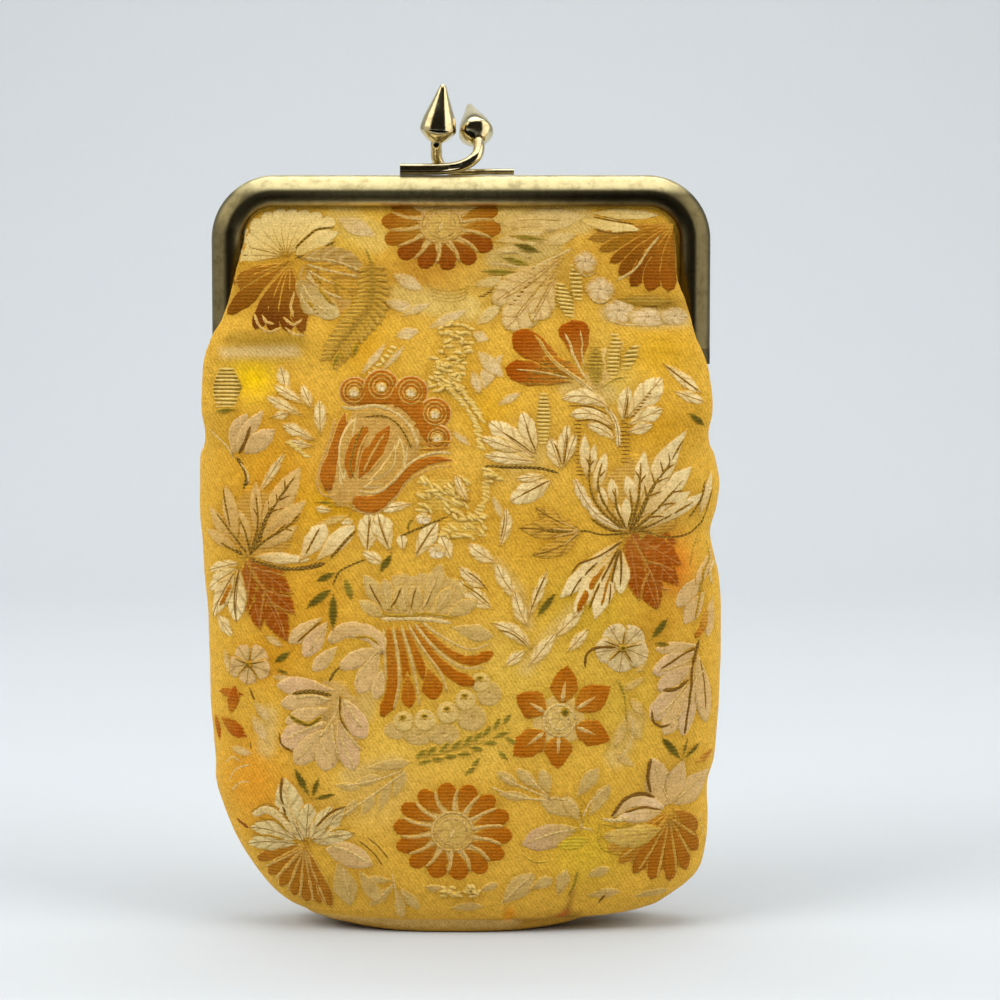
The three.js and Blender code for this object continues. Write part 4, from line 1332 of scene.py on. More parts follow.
def patch_solid(panel, patch):
    """Points and faces of a patch as a thin body: raised over the cloth, its edge and floor sunk in it."""
    rows, columns = patch.places.shape[:2]
    points, normals, there = on_panel(panel, patch.places)
    if not there.all():
        return None
    clear = smooth(*UNDER_FRAME, points[..., 2])
    edge = np.abs(patch.petal[..., 1]) ** 4
    height = patch.top * clear - SUNK * edge
    top = points + normals * height[..., None]
    floor = points - normals * UNDER
    for layer_points in (top, floor):
        layer_points[..., 2] = np.maximum(layer_points[..., 2], LEAST_Z)
    rings = [border_of(rows, columns)]
    if patch.closed:
        rings = [[(rows - 1) * columns + c for c in range(columns)], list(range(columns))[::-1]]
    faces = sheet_faces(grid_faces(rows, columns, closed=patch.closed), rings, rows * columns)
    return np.concatenate([top.reshape(-1, 3), floor.reshape(-1, 3)]), faces


# What is stored at each point of a motif for its material, and as what
FIELDS = {
    "cloth": "FLOAT_VECTOR",
    "petal": "FLOAT_VECTOR",
    "fill": "FLOAT_COLOR",
    "trim": "FLOAT_COLOR",
    "drawing": "FLOAT_VECTOR",
    "fade": "FLOAT",
    "tint": "FLOAT_COLOR",
}


def patch_fields(panel, tints, patch, heights):
    """The values of a patch's fields; its points stand at heights over the floor."""
    weave = patch.weave
    size = len(heights)
    toward = smooth(0.1, 0.8, patch.petal[..., 0]).reshape(-1, 1)
    # Painted shade under the frame's lip, multiplied into the motif's dyes
    painted_darkening = shade_under_frame(heights)
    return {
        "cloth": np.concatenate([patch.places, 0 * patch.places[..., :1]], -1).reshape(-1, 3),
        "petal": patch.petal.reshape(-1, 3),
        "fill": opaque(mix(colour(weave.root), colour(weave.fill), toward) * painted_darkening),
        "trim": opaque(colour(weave.trim) * painted_darkening),
        "drawing": np.tile([weave.rim, weave.rib, weave.veins], (size, 1)),
        "fade": np.full(size, weave.fade),
        "tint": opaque(read_grid(panel, tints, patch.places)),
    }


def motif_object(name, panel, tints, patches, material):
    """All patches of one kind of thread on a panel, with what their material reads at each point."""
    parts = []
    stores = {field: [] for field in FIELDS}
    for patch in patches:
        solid = patch_solid(panel, patch)
        if solid is None:
            continue
        parts.append(solid)
        heights = solid[0][:len(solid[0]) // 2, 2]
        for field, values in patch_fields(panel, tints, patch, heights).items():
            stores[field] += [values, values]
    made = mesh_object(name, *joined(parts), material)
    for field, kind in FIELDS.items():
        give(made, field, kind, np.concatenate(stores[field]))
    return made


# The chart: each motif where the front shows it, across from the middle and up from the foot


def oval(middle, across, up, count):
    """Points around an oval, with the first one again at the end."""
    x, z = middle
    turns = np.radians(np.linspace(0, 360, count))
    return [(x + across * math.cos(a), z + up * math.sin(a)) for a in turns]


def daisy(weave, middle, across, up, lower, upper=None, upper_from=2):
    """Round petals about a cream eye, with pale cords between them, in another dye above a height; on the
    top daisy the lower petals carry painted shade and the upper ones painted light.
    """
    x, z = middle
    petals = 14
    cord = dyed(CORD, "DDB468", "E2BE78")
    weave.disc(FADED, middle, 0.8 * across, 0.8 * up)
    for turn in np.radians(20 + 360 / petals * np.arange(petals)):
        c, s = math.cos(turn), math.sin(turn)
        base = (x + 0.36 * across * c, z + 0.4 * up * s)
        dye = upper if s > upper_from else lower
        weave.leaf(dye, base, (x + across * c, z + up * s), 3.3, belly=0.66, round_=0.42)
    weave.disc(dyed(PLAIN, "DAB45C"), middle, 0.38 * across, 0.44 * up)
    for turn in np.radians(20 + 360 / petals * (np.arange(petals) + 0.5)):
        c, s = math.cos(turn), math.sin(turn)
        bend = turn + 0.06
        start = (x + 0.3 * across * c, z + 0.36 * up * s)
        half_way = (x + 0.6 * across * math.cos(bend), z + 0.6 * up * math.sin(bend))
        weave.line(cord, (0.7, 0.6), start, half_way, (x + 0.86 * across * c, z + 0.86 * up * s))
    for share in (0.34, 0.24):
        weave.line(cord, 0.5, *oval(middle, share * across, 1.15 * share * up, 13))
    weave.line(CORD, 0.6, (x - 0.4, z - 1.2), (x + 0.2, z + 0.4))


def star_flower(weave):
    tips = [(16.8, 41.6), (23.7, 38.2), (23.6, 29.6), (15.2, 25.0), (8.1, 27.0), (8.6, 36.8)]
    middle = (15.5, 32.8)
    weave.disc(FADED, middle, 4.6, 4.6)
    for tip in tips:
        base, start, end = (tuple(mix(m, t, k) for m, t in zip(middle, tip)) for k in (0.3, 0.34, 0.7))
        weave.leaf(ORANGE, base, tip, 4.8, belly=0.46, round_=0.85)
        weave.line(dyed(CORD, "D8A860", "E2BE78"), (1.0, 0.4), start, end)
    weave.disc(dyed(PLAIN, "DEBA68"), middle, 2.7, 2.6)
    for reach in (2.5, 1.5):
        weave.line(CORD, 0.5, *oval(middle, reach, reach, 11))
    weave.disc(GREEN, (16.4, 34.1), 0.75)


def palmette(weave):
    lobes = [
        (-17.0, 84.9, 2.3), (-12.7, 85.7, 2.7), (-8.0, 84.8, 2.6), (-4.2, 81.4, 2.5), (-3.8, 77.5, 2.1),
    ]
    weave.leaf(dyed(FADED, "CFA050", fade=1.4), (-20.0, 66.6), (-7.6, 85.0), 14.5, round_=0.5)
    for x, z, r in lobes:
        weave.disc(PIPED, (x, z), r + 0.2)
    weave.line(
        BARE_PIPED, 3.2, (-18.4, 84.0), (-15.0, 84.2), (-11.6, 84.2), (-8.4, 82.8), (-6.2, 80.4),
        (-5.0, 77.0),
    )
    for x, z, r in lobes:
        for share in (0.74, 0.5):
            weave.line(AMBER_CORD, 0.32, *oval((x, z), share * r, share * r, 9))
        weave.disc(PALE_DOT, (x, z - 0.1), 0.9)
    weave.line(
        CORD, 0.7, (-19.2, 82.4), (-17.0, 82.2), (-13.6, 82.6), (-11.0, 81.8), (-8.8, 80.2), (-7.4, 78.0),
        (-6.8, 75.8),
    )
    weave.line(
        LOOP._replace(rim=0), 1.5, (-16.6, 81.2), (-13.0, 81.4), (-10.4, 80.2), (-8.7, 78.0),
        (-7.9, 76.0),
    )
    weave.line(STITCH, 0.45, (-15.4, 80.8), (-12.4, 81.0), (-10.2, 79.8), (-8.8, 77.8), (-8.0, 76.0))


def palmette_heart(weave):
    weave.line(
        AMBER_CORD, 0.6, (-20.0, 80.8), (-20.8, 77.4), (-22.1, 74.0), (-22.9, 71.0), (-22.4, 69.0),
        (-20.8, 68.2), (-19.2, 69.0),
    )
    weave.line(
        THIN_PIPED, (1.5, 3.2), (-18.5, 81.4), (-19.3, 77.8), (-20.4, 74.4), (-21.2, 71.6), (-21.0, 69.2),
        taper=0.4,
    )
    weave.line(CORD, 0.6, (-17.4, 81.0), (-18.3, 77.4), (-19.0, 74.0), (-19.2, 71.0), (-18.8, 69.6))
    weave.leaf(LOOP, (-18.6, 70.6), (-16.6, 81.0), 2.4, 0.08)
    weave.leaf(THIN_PIPED, (-17.6, 70.8), (-14.2, 80.0), 3.0, 0.1, belly=0.45)
    weave.leaf(THIN_PIPED, (-16.4, 71.0), (-11.2, 79.8), 3.4, 0.0, belly=0.5)
    weave.lines(
        AMBER_CORD, 0.45,
        (-16.8, 72.0, -16.2, 75.6, -14.6, 78.6), (-15.6, 72.0, -14.2, 75.0, -12.2, 78.2),
        (-15.0, 71.4, -13.4, 73.6, -11.6, 75.6),
    )
    weave.line(STITCH, 0.4, (-15.4, 79.8), (-16.8, 76.6), (-17.6, 73.2), (-17.0, 71.0))
    weave.leaf(LOOP, (-15.8, 69.6), (-9.8, 77.8), 3.2, -0.2)
    weave.leaf(LOOP._replace(rim=0.3), (-14.8, 70.8), (-10.6, 76.6), 1.7, -0.16)
    weave.line(CORD, 0.5, (-14.4, 68.7), (-11.0, 70.5), (-9.0, 73.4), (-8.6, 76.4))
    weave.line(
        AMBER_CORD, 0.5, (-17.8, 66.4), (-14.0, 65.5), (-11.0, 67.5), (-8.8, 70.3), (-6.4, 72.0),
        (-3.8, 73.0), (-1.6, 73.0),
    )
    weave.line(
        THIN_PIPED, (3.4, 1.2), (-17.2, 67.6), (-14.0, 67.0), (-11.5, 68.9), (-9.3, 71.5), (-7.0, 73.2),
        (-4.0, 74.1), (-1.6, 74.0), taper=0.4,
    )
    weave.line(
        CORD, 0.55, (-16.6, 69.2), (-13.4, 68.9), (-10.9, 70.6), (-8.8, 73.0), (-6.6, 74.5), (-3.8, 75.2),
        (-1.6, 75.1),
    )
    for z in (76.8, 75.9):
        weave.line(BARE_PIPED, 0.5, (-7.0, z - 0.3), (-4.4, z - 0.1), (-1.6, z + 0.1))
    weave.leaves(OLIVE, (-20.0, 67.2), (-23.2, 67.4, 1.0), (-22.4, 65.7, 0.9))
    weave.ticks(OLIVE, 1.7, (-18.0, 67.4), (-18.4, 63.8))
    weave.leaf(PLAIN, (-20.4, 66.0), (-23.4, 66.4), 1.3)
    weave.disc(PLAIN, (-18.2, 64.3), 1.2, 0.8)
    weave.leaf(FADED, (-23.6, 63.4), (-17.6, 65.4), 1.8)


def bell_flower(weave):
    tan = DULL._replace(rim=0.3)
    weave.disc(dyed(FADED, "D2AC60", fade=1.2), (-6.6, 52.4), 8.6, 4.2)
    weave.scatter(
        tan,
        (-11.2, 49.4, -15.6, 56.0, 3.0), (-10.8, 49.8, -12.4, 55.4, 2.8), (-9.4, 49.4, -9.4, 54.6, 3.2),
        (-7.4, 49.4, -7.2, 54.6, 3.0), (-5.8, 49.6, -3.2, 57.8, 3.4), (-4.4, 49.4, -1.6, 54.0, 2.8),
        (-2.6, 49.2, 2.6, 51.8, 2.8), (-12.0, 49.0, -16.4, 51.8, 2.4), belly=0.58,
    )
    weave.leaf(tan, (-2.0, 47.6), (5.2, 46.0), 3.0, belly=0.6)
    weave.lines(
        BROWN, 0.4,
        (-11.2, 50.6, -10.2, 52.2, -9.6, 53.8), (-5.6, 51.0, -4.9, 53.0, -4.0, 55.2),
        (-12.6, 50.8, -13.6, 52.4, -14.6, 54.4), (-8.0, 50.4, -7.6, 52.4, -7.2, 53.8),
    )
    weave.lines(
        CORD, 0.45,
        (-11.6, 50.2, -12.0, 52.6, -12.4, 54.8), (-8.8, 50.0, -9.2, 52.0, -9.4, 54.0),
        (-6.2, 50.4, -4.6, 54.0, -3.4, 57.0), (-4.0, 50.2, -2.6, 52.2, -1.8, 53.6),
    )


def bell_hem(weave):
    for x, z, wide, high in (
        (-10.2, 31.2, 2.4, 1.6), (-6.8, 30.4, 2.6, 1.8), (-2.8, 30.6, 2.8, 2.0), (1.6, 33.2, 2.6, 2.4),
        (4.4, 37.0, 2.2, 2.2),
    ):
        weave.disc(DULL._replace(rim=0.2), (x, z), wide, high)
    for x, z, r in (
        (-9.2, 32.6, 1.8), (-5.8, 32.8, 1.9), (-2.2, 34.0, 1.9), (0.6, 36.0, 1.8), (3.0, 38.8, 1.7),
    ):
        weave.disc(dyed(DULL, "DDBA6C", rim=0.3), (x, z), r)
        weave.disc(GREEN, (x - 0.1, z + 0.7), 0.65, 0.45)
        weave.ticks(OLIVE, 0.5, (x - 1.0, z + 0.2), (x + 1.0, z + 0.2), step=0.7)


def bell_petals(weave):
    for wide, *route in (
        ((1.4, 2.6), (-11.6, 47.6), (-11.2, 43.4), (-10.9, 39.4), (-11.3, 36.4), (-12.6, 33.4)),
        ((1.1, 2.0), (-10.2, 47.6), (-9.4, 44.0), (-8.8, 40.8), (-8.7, 38.6)),
        ((1.1, 2.0), (-9.0, 47.6), (-7.6, 44.4), (-6.5, 41.4), (-6.0, 39.4)),
        ((1.1, 2.6), (-8.0, 47.8), (-5.6, 44.4), (-3.6, 42.0), (-1.0, 39.8), (2.0, 38.6)),
        ((1.1, 2.2), (-7.0, 48.0), (-4.2, 45.4), (-1.4, 43.2), (1.6, 42.2), (5.0, 43.5)),
    ):
        weave.line(ORANGE, wide, *route, taper=0.45)
    weave.scatter(
        ORANGE,
        (-8.6, 40.6, -8.3, 34.6, 2.8), (-5.4, 41.4, -4.2, 36.0, 3.6), belly=0.66, round_=0.6,
    )
    cord = dyed(CORD, "DFB870", "E4C480")
    weave.lines(
        cord, 0.55,
        (-12.4, 47.4, -12.2, 43.4, -12.1, 39.4, -12.8, 36.4),
        (-10.9, 47.6, -10.1, 43.2, -9.9, 38.6, -10.7, 34.4),
        (-9.6, 47.8, -8.1, 43.0, -7.1, 38.4, -6.6, 35.0),
        (-8.5, 48.0, -5.9, 43.8, -3.4, 40.4, -2.2, 37.2), (-7.5, 48.2, -4.2, 44.2, 0.0, 41.2, 3.6, 41.2),
        (-6.4, 48.4, -3.0, 46.0, 1.4, 44.0, 4.6, 45.0),
    )
    weave.line(CORD, 0.8, (-12.8, 48.8), (-9.0, 48.9), (-5.6, 48.8), (-1.6, 48.2))
    weave.line(OLIVE, 0.6, (-12.6, 49.6), (-9.6, 49.4), (-5.0, 49.6), (-0.8, 48.9))


def side_veins(weave, *rows):
    """Short bowed stitches, each a row: where it starts, and how far it runs across and up."""
    for x, z, run, rise in rows:
        weave.line(BROWN, (0.4, 0.3), (x, z), (x + run / 2, z + rise / 2 + 0.1), (x + run, z + rise))


def leaf_cluster_right(weave):
    weave.disc(dyed(FADED, "CFA044", fade=2.0), (28.6, 68.2), 8.6, 7.0)
    weave.scatter(
        BARE_CREAM,
        (27.2, 63.2, 36.4, 69.2, 3.4), (28.2, 65.0, 36.6, 73.2, 3.8), (28.2, 66.5, 35.8, 79.0, 3.8),
        (28.0, 67.5, 29.0, 75.6, 3.0), (27.6, 67.0, 26.0, 71.8, 2.4), (24.2, 67.0, 23.7, 71.2, 2.2),
        (22.8, 66.0, 22.0, 70.0, 1.9), (21.0, 68.8, 22.9, 75.4, 2.4), (20.2, 71.2, 21.2, 76.8, 1.9),
        (19.8, 71.0, 19.5, 78.4, 1.9), (26.3, 62.9, 26.0, 68.2, 2.6), (28.0, 62.8, 39.4, 69.4, 2.4),
        (37.6, 65.0, 39.6, 72.6, 2.0), (24.9, 64.4, 24.7, 67.4, 1.5),
    )
    weave.line(
        dyed(PLAIN, "EACE92"), (2.0, 1.4), (17.9, 71.0), (19.4, 68.0), (21.5, 65.3), (24.0, 63.8),
        (26.0, 63.1),
    )
    for wide, *route in (
        (0.6, (20.4, 64.8), (23.0, 63.2), (26.0, 62.5)),
        ((0.9, 0.5), (26.6, 62.8), (27.8, 64.5), (30.0, 69.3), (33.0, 73.5), (35.2, 77.4)),
        ((0.7, 0.4), (26.8, 63.4), (28.0, 68.0), (28.4, 73.6)),
        ((0.7, 0.4), (27.0, 62.8), (31.0, 66.4), (35.0, 70.8)),
        ((0.6, 0.4), (27.2, 62.7), (32.0, 64.8), (36.6, 67.4)),
        ((0.6, 0.4), (26.4, 63.4), (27.0, 66.2), (26.6, 69.4)),
        ((0.6, 0.4), (26.0, 63.2), (24.6, 66.4), (24.3, 69.6)),
        ((0.6, 0.4), (25.6, 63.2), (22.8, 66.8), (21.6, 70.0), (22.2, 73.6)),
        ((0.6, 0.4), (25.2, 63.4), (22.0, 66.2), (20.4, 69.6), (20.3, 75.0)),
        (0.5, (26.0, 62.5), (29.0, 62.8), (32.0, 61.8), (36.0, 62.4), (38.2, 64.4)),
        (0.5, (36.0, 64.8), (37.8, 67.6), (38.6, 70.8)), (0.45, (37.8, 63.8), (39.0, 66.6), (39.7, 69.4)),
    ):
        weave.line(dyed(STITCH, "7A5A20"), wide, *route)
    side_veins(
        weave,
        (29.3, 68.0, -0.4, 2.2), (30.6, 70.2, -0.6, 2.0), (31.9, 72.0, -0.5, 2.0),
        (33.0, 73.6, -0.3, 1.8), (29.4, 68.2, 2.2, 0.8), (30.8, 70.4, 2.0, 0.9), (32.2, 72.4, 1.6, 1.0),
        (29.6, 65.0, 2.4, 0.2), (31.6, 66.9, 2.2, 0.3), (33.2, 68.8, 1.8, 0.4), (28.3, 70.4, 0.9, 1.3),
        (28.3, 71.0, -0.8, 1.3), (24.4, 68.2, -0.6, 1.1), (21.9, 71.4, 0.9, 0.9), (20.3, 73.0, 0.7, 1.0),
        (20.3, 73.2, -0.7, 1.2),
    )


def ochre_leaves(weave):
    weave.scatter(
        OCHRE,
        (18.6, 63.2, 11.6, 66.6, 2.4, 0.06), (18.4, 62.8, 9.0, 63.2, 3.0),
        (18.6, 62.4, 11.0, 58.9, 2.8, 0.08),
    )
    weave.line(STITCH, 0.5, (26.5, 62.6), (22.5, 62.2), (19.4, 62.8), (16.4, 62.6), (12.6, 62.9))
    for far in ((15.4, 64.4), (14.0, 63.2), (14.6, 61.8), (16.0, 60.4)):
        weave.line(TAN_CORD, 0.4, (18.8, 62.8), far)


def leaf_cluster_left(weave):
    tan = dyed(CREAM, "DFB468", "CFA050", rib=0, veins=0)
    weave.disc(dyed(FADED, "CB983E", fade=2.0), (-32.0, 63.8), 6.6, 6.4)
    weave.scatter(
        tan,
        (-32.0, 62.0, -25.4, 73.2, 4.4), (-31.8, 61.6, -24.4, 67.8, 3.2), (-32.4, 60.0, -25.8, 63.6, 2.8),
        (-32.4, 62.4, -32.6, 70.8, 2.6), (-33.4, 61.0, -35.6, 66.4, 2.8), (-35.8, 60.6, -37.4, 70.2, 3.4),
        (-36.4, 60.8, -40.0, 67.0, 2.6), (-35.2, 59.9, -40.4, 63.2, 2.4),
    )
    weave.leaf(BARE_CREAM, (-33.0, 58.8), (-23.6, 58.2), 2.2)
    weave.scatter(BARE_CREAM, (-25.8, 57.8, -21.4, 64.0, 3.8), (-23.4, 57.8, -16.8, 63.8, 3.4), belly=0.6)
    dark = dyed(STITCH, "74541C")
    for wide, *route in (
        ((1.0, 0.5), (-33.6, 58.9), (-32.0, 61.8), (-30.8, 65.0), (-26.4, 71.4)),
        ((0.7, 0.4), (-33.2, 59.6), (-30.6, 61.6), (-27.4, 63.6), (-25.6, 65.6)),
        ((0.6, 0.4), (-33.3, 59.6), (-32.2, 64.0), (-32.5, 68.6)),
        ((0.6, 0.4), (-33.5, 59.4), (-34.2, 62.6), (-35.2, 65.0)),
        ((0.6, 0.4), (-34.0, 59.2), (-36.6, 62.8), (-38.8, 65.6)),
        ((0.8, 0.4), (-33.8, 58.8), (-35.8, 59.6), (-38.2, 61.0)),
        ((0.6, 1.0), (-33.4, 58.4), (-30.6, 57.4), (-27.4, 56.8), (-24.4, 57.0), (-21.6, 57.7)),
        (0.6, (-20.8, 58.4), (-19.0, 60.5), (-16.8, 62.9)),
        (0.5, (-24.6, 59.2), (-23.6, 61.2), (-22.5, 63.2)),
        (0.5, (-37.8, 69.6), (-37.2, 66.4), (-36.6, 63.4)),
    ):
        weave.line(dark, wide, *route)
    side_veins(
        weave,
        (-30.4, 65.6, -0.2, 2.2), (-29.2, 67.3, -0.2, 2.2), (-27.9, 69.2, -0.1, 1.9),
        (-30.2, 65.8, 2.2, 0.6), (-29.0, 67.6, 2.0, 0.8), (-29.4, 62.3, 1.6, 1.6),
        (-28.2, 63.2, 1.4, -0.4), (-32.3, 65.2, -0.7, 1.2),
    )


def maple_left(weave):
    weave.leaves(
        MAPLE, (-34.0, 58.4),
        (-27.4, 45.0, 5.2), (-31.8, 46.8, 4.2), (-26.2, 49.4, 4.4), (-34.0, 49.6, 3.2),
        (-27.8, 56.0, 3.6), (-26.6, 52.8, 3.4),
    )
    weave.lines(
        MAPLE_VEIN, 0.4,
        (-33.6, 58.0, -31.6, 54.0, -29.4, 50.4, -28.0, 46.4), (-31.6, 53.8, -29.4, 52.8, -27.0, 52.4),
        (-31.2, 53.0, -31.7, 50.0, -31.9, 48.0), (-30.4, 51.6, -28.6, 50.6, -27.0, 50.0),
        (-33.2, 56.8, -33.7, 53.4, -33.9, 51.0), (-33.0, 57.0, -30.4, 56.4, -28.4, 55.8),
    )
    weave.scatter(PLAIN, (-35.0, 57.8, -40.0, 56.6, 2.0), (-35.4, 57.0, -40.0, 53.4, 2.8))
    weave.leaf(CREAM, (-35.0, 57.4), (-35.6, 48.2), 3.6, -0.04, belly=0.6)
    weave.leaf(CREAM, (-35.8, 56.4), (-39.4, 49.0), 3.0)
    weave.leaf(PLAIN, (-38.8, 49.8), (-36.2, 46.0), 2.2)
    weave.line(ORANGE, 1.0, (-36.4, 54.4), (-37.4, 52.4), (-38.2, 51.0))
    weave.line(BROWN, 0.4, (-35.2, 56.8), (-35.9, 52.6), (-35.8, 49.4))


def maple_right(weave):
    weave.leaves(
        MAPLE, (26.4, 62.4),
        (31.2, 50.2, 5.8), (34.6, 54.0, 4.6), (28.2, 51.6, 3.8), (34.4, 61.0, 3.6), (35.0, 57.4, 4.6),
    )
    weave.lines(
        MAPLE_VEIN, 0.4,
        (27.0, 62.0, 29.0, 58.0, 30.8, 54.0, 31.2, 51.2), (29.2, 58.0, 31.6, 57.4, 33.8, 56.4),
        (29.8, 56.4, 28.8, 54.4, 28.4, 52.8), (30.6, 54.6, 32.2, 53.6, 33.4, 53.4),
        (28.2, 60.0, 30.8, 60.2, 33.0, 60.6),
    )
    weave.scatter(
        BARE_CREAM,
        (25.8, 61.8, 15.4, 52.0, 3.6), (24.8, 60.2, 17.6, 49.6, 3.4), (24.8, 59.8, 21.0, 48.6, 3.6),
        (25.3, 60.2, 25.2, 52.6, 3.0), belly=0.58,
    )
    weave.line(ORANGE, (0.9, 1.6), (22.6, 57.2), (20.5, 54.2), (18.4, 50.0))
    weave.line(ORANGE, (0.5, 0.9), (24.2, 57.4), (22.9, 54.0), (22.2, 51.0))
    weave.lines(
        BROWN, (0.6, 0.35),
        (25.4, 61.2, 22.0, 58.9, 19.0, 57.9), (24.8, 60.0, 23.0, 56.6, 21.2, 53.0, 20.2, 50.4),
        (24.9, 59.8, 23.8, 55.0, 23.4, 51.4), (25.2, 60.0, 25.3, 56.4, 25.1, 54.0),
        (21.4, 57.8, 18.6, 54.8, 17.2, 52.4), (20.4, 58.2, 18.6, 57.6, 17.4, 56.0),
    )


def bud_branch(weave):
    weave.scatter(BUD, (17.8, 87.2, 8.0, 94.2, 5.0), (17.8, 86.2, 6.8, 88.6, 4.4), belly=0.7, round_=0.5)
    weave.leaf(BUD, (19.2, 87.6), (17.4, 96.2), 5.6, belly=0.8, round_=0.42)
    weave.leaf(BUD._replace(fill="B86C18"), (19.6, 87.0), (12.8, 90.4), 3.0)
    for z in (86.2, 87.0, 87.8, 88.6, 89.4):
        weave.line(BROWN, 0.3, (z - 77.0, z), (14.0, z - 0.1), (17.4, z + 0.2))
    weave.line(CORD, 0.5, (16.3, 94.2), (17.6, 91.0), (19.2, 87.8), (20.2, 86.4))
    weave.lines(CORD, 0.35, (18.8, 94.6, 19.0, 91.4, 19.6, 88.4), (8.6, 88.4, 12.6, 88.0, 17.0, 87.0))
    weave.leaf(FADED, (20.0, 84.8), (25.6, 93.0), 5.4)
    weave.ladder((21.4, 85.8), (21.4, 92.2), 2.4, 10, OLIVE)
    weave.ladder((24.0, 86.8), (24.2, 94.2), 2.0, 12)
    weave.ladder((26.0, 88.2), (27.8, 92.4), 2.2, 6, lean=0.1)
    weave.line(OLIVE, 0.6, (22.2, 85.5), (24.2, 86.8), (26.2, 87.2))


def bud_sprays(weave):
    weave.line(
        PLAIN, (0.6, 1.3), (11.6, 93.8), (14.5, 89.8), (19.0, 86.4), (22.0, 83.5), (24.3, 80.4),
        (25.0, 76.0),
    )
    weave.ticks(BROWN, 1.6, (26.1, 73.4), (26.0, 80.4))
    weave.ticks(BROWN, 1.2, (18.8, 71.4), (18.4, 80.2))
    weave.scatter(
        PLAIN,
        (23.6, 82.0, 15.8, 83.6, 2.4, -0.16), (24.2, 79.2, 17.0, 81.0, 2.4, -0.16),
        (24.4, 77.0, 19.6, 79.6, 1.8, -0.1), (25.5, 80.0, 26.4, 85.8, 2.4, 0.0),
        (26.2, 80.6, 31.8, 87.2, 3.8, 0.0), (26.2, 79.6, 32.0, 82.2, 2.6, 0.0),
        (26.0, 78.4, 30.4, 79.6, 1.8, 0.0), (31.6, 89.6, 38.0, 84.6, 1.8, 0.0),
        (33.4, 85.0, 38.6, 83.2, 1.7, 0.0), (15.8, 72.4, 14.0, 77.6, 2.4, 0.0),
        (16.0, 72.4, 16.8, 79.8, 2.2, 0.0), (16.4, 73.0, 18.2, 78.4, 1.5, 0.0),
        (11.6, 74.4, 4.2, 80.2, 3.4, 0.0), (11.8, 75.0, 9.5, 81.8, 2.8, 0.0),
        (12.2, 73.7, 3.4, 74.8, 2.0, 0.0), (9.6, 75.4, 3.0, 77.6, 2.0, 0.0),
        (14.4, 71.0, 7.6, 67.4, 3.4, 0.0), (13.6, 71.6, 8.6, 71.0, 1.4, 0.0), belly=0.56, round_=0.7,
    )
    weave.lines(
        BROWN, 0.35,
        (16.8, 82.6, 20.0, 82.6, 23.0, 81.4), (17.8, 80.2, 21.0, 80.4, 24.0, 78.8),
        (32.0, 89.2, 35.4, 86.5, 37.8, 84.8), (15.9, 73.4, 15.2, 75.6, 14.6, 76.8),
        (16.2, 73.4, 16.6, 76.0, 16.8, 78.2), (13.8, 70.8, 11.4, 69.5, 9.4, 68.5),
        (11.4, 75.0, 9.0, 76.8, 6.6, 78.4), (11.8, 75.6, 10.8, 77.6, 10.2, 79.8),
        (25.8, 80.6, 26.2, 82.6, 26.4, 84.4),
    )
    weave.ticks(BROWN, 0.6, (27.0, 80.8), (29.8, 84.6))
    weave.ladder((12.9, 76.4), (13.0, 84.8), 2.1, 14)
    weave.line(STITCH, 0.7, (3.5, 73.0), (8.0, 72.9), (12.5, 72.7), (15.4, 72.0))
    weave.clump((3.0, 70.6), (6.6, 72.8), 14, 1.3)


def top_left(weave):
    weave.leaves(
        FAN, (-27.8, 106.2),
        (-34.6, 106.4, 3.0), (-35.0, 108.4, 3.2), (-34.6, 110.4, 3.4), (-33.2, 112.2, 3.4),
        (-31.2, 113.4, 3.4), (-29.0, 114.0, 3.4), (-26.8, 114.0, 3.4), (-24.6, 113.8, 3.4),
        (-22.4, 113.4, 3.4), (-20.2, 112.4, 3.4), belly=0.74, round_=0.5,
    )
    weave.leaf(FAN, (-26.4, 106.4), (-19.2, 110.2), 3.4, 0.05)
    weave.line(STITCH, 0.6, (-26.4, 106.0), (-23.0, 107.0), (-20.0, 108.7))
    weave.line(STITCH, 0.5, (-26.3, 107.6), (-24.6, 109.2), (-23.0, 110.5), (-20.2, 110.9))
    for tip, wide, dye in (
        ((-35.8, 102.4), 2.8, "A46E1A"), ((-36.8, 99.6), 3.2, "986212"), ((-37.2, 97.0), 3.2, "8A520C"),
        ((-35.4, 95.0), 3.2, "7C460A"), ((-32.8, 94.6), 3.4, "723C08"), ((-30.2, 94.2), 3.4, "6E3A08"),
        ((-27.6, 94.2), 3.4, "743E08"), ((-25.2, 94.0), 3.0, "844E10"),
    ):
        weave.leaf(STRIPED._replace(fill=dye), (-27.2, 105.7), tip, wide, belly=0.72, round_=0.5)
    weave.lines(
        TAN_CORD, 0.6,
        (-37.2, 96.2, -35.4, 95.0, -33.0, 95.5), (-32.8, 97.2, -32.0, 95.2, -30.4, 94.3, -28.6, 95.0),
        (-31.6, 97.0, -30.8, 95.8, -29.6, 95.6), (-28.2, 96.6, -26.6, 95.4, -25.2, 96.4),
        (-28.0, 95.0, -26.6, 94.0, -24.8, 93.8), (-25.0, 105.0, -26.2, 101.2, -27.0, 98.6, -26.6, 96.6),
    )


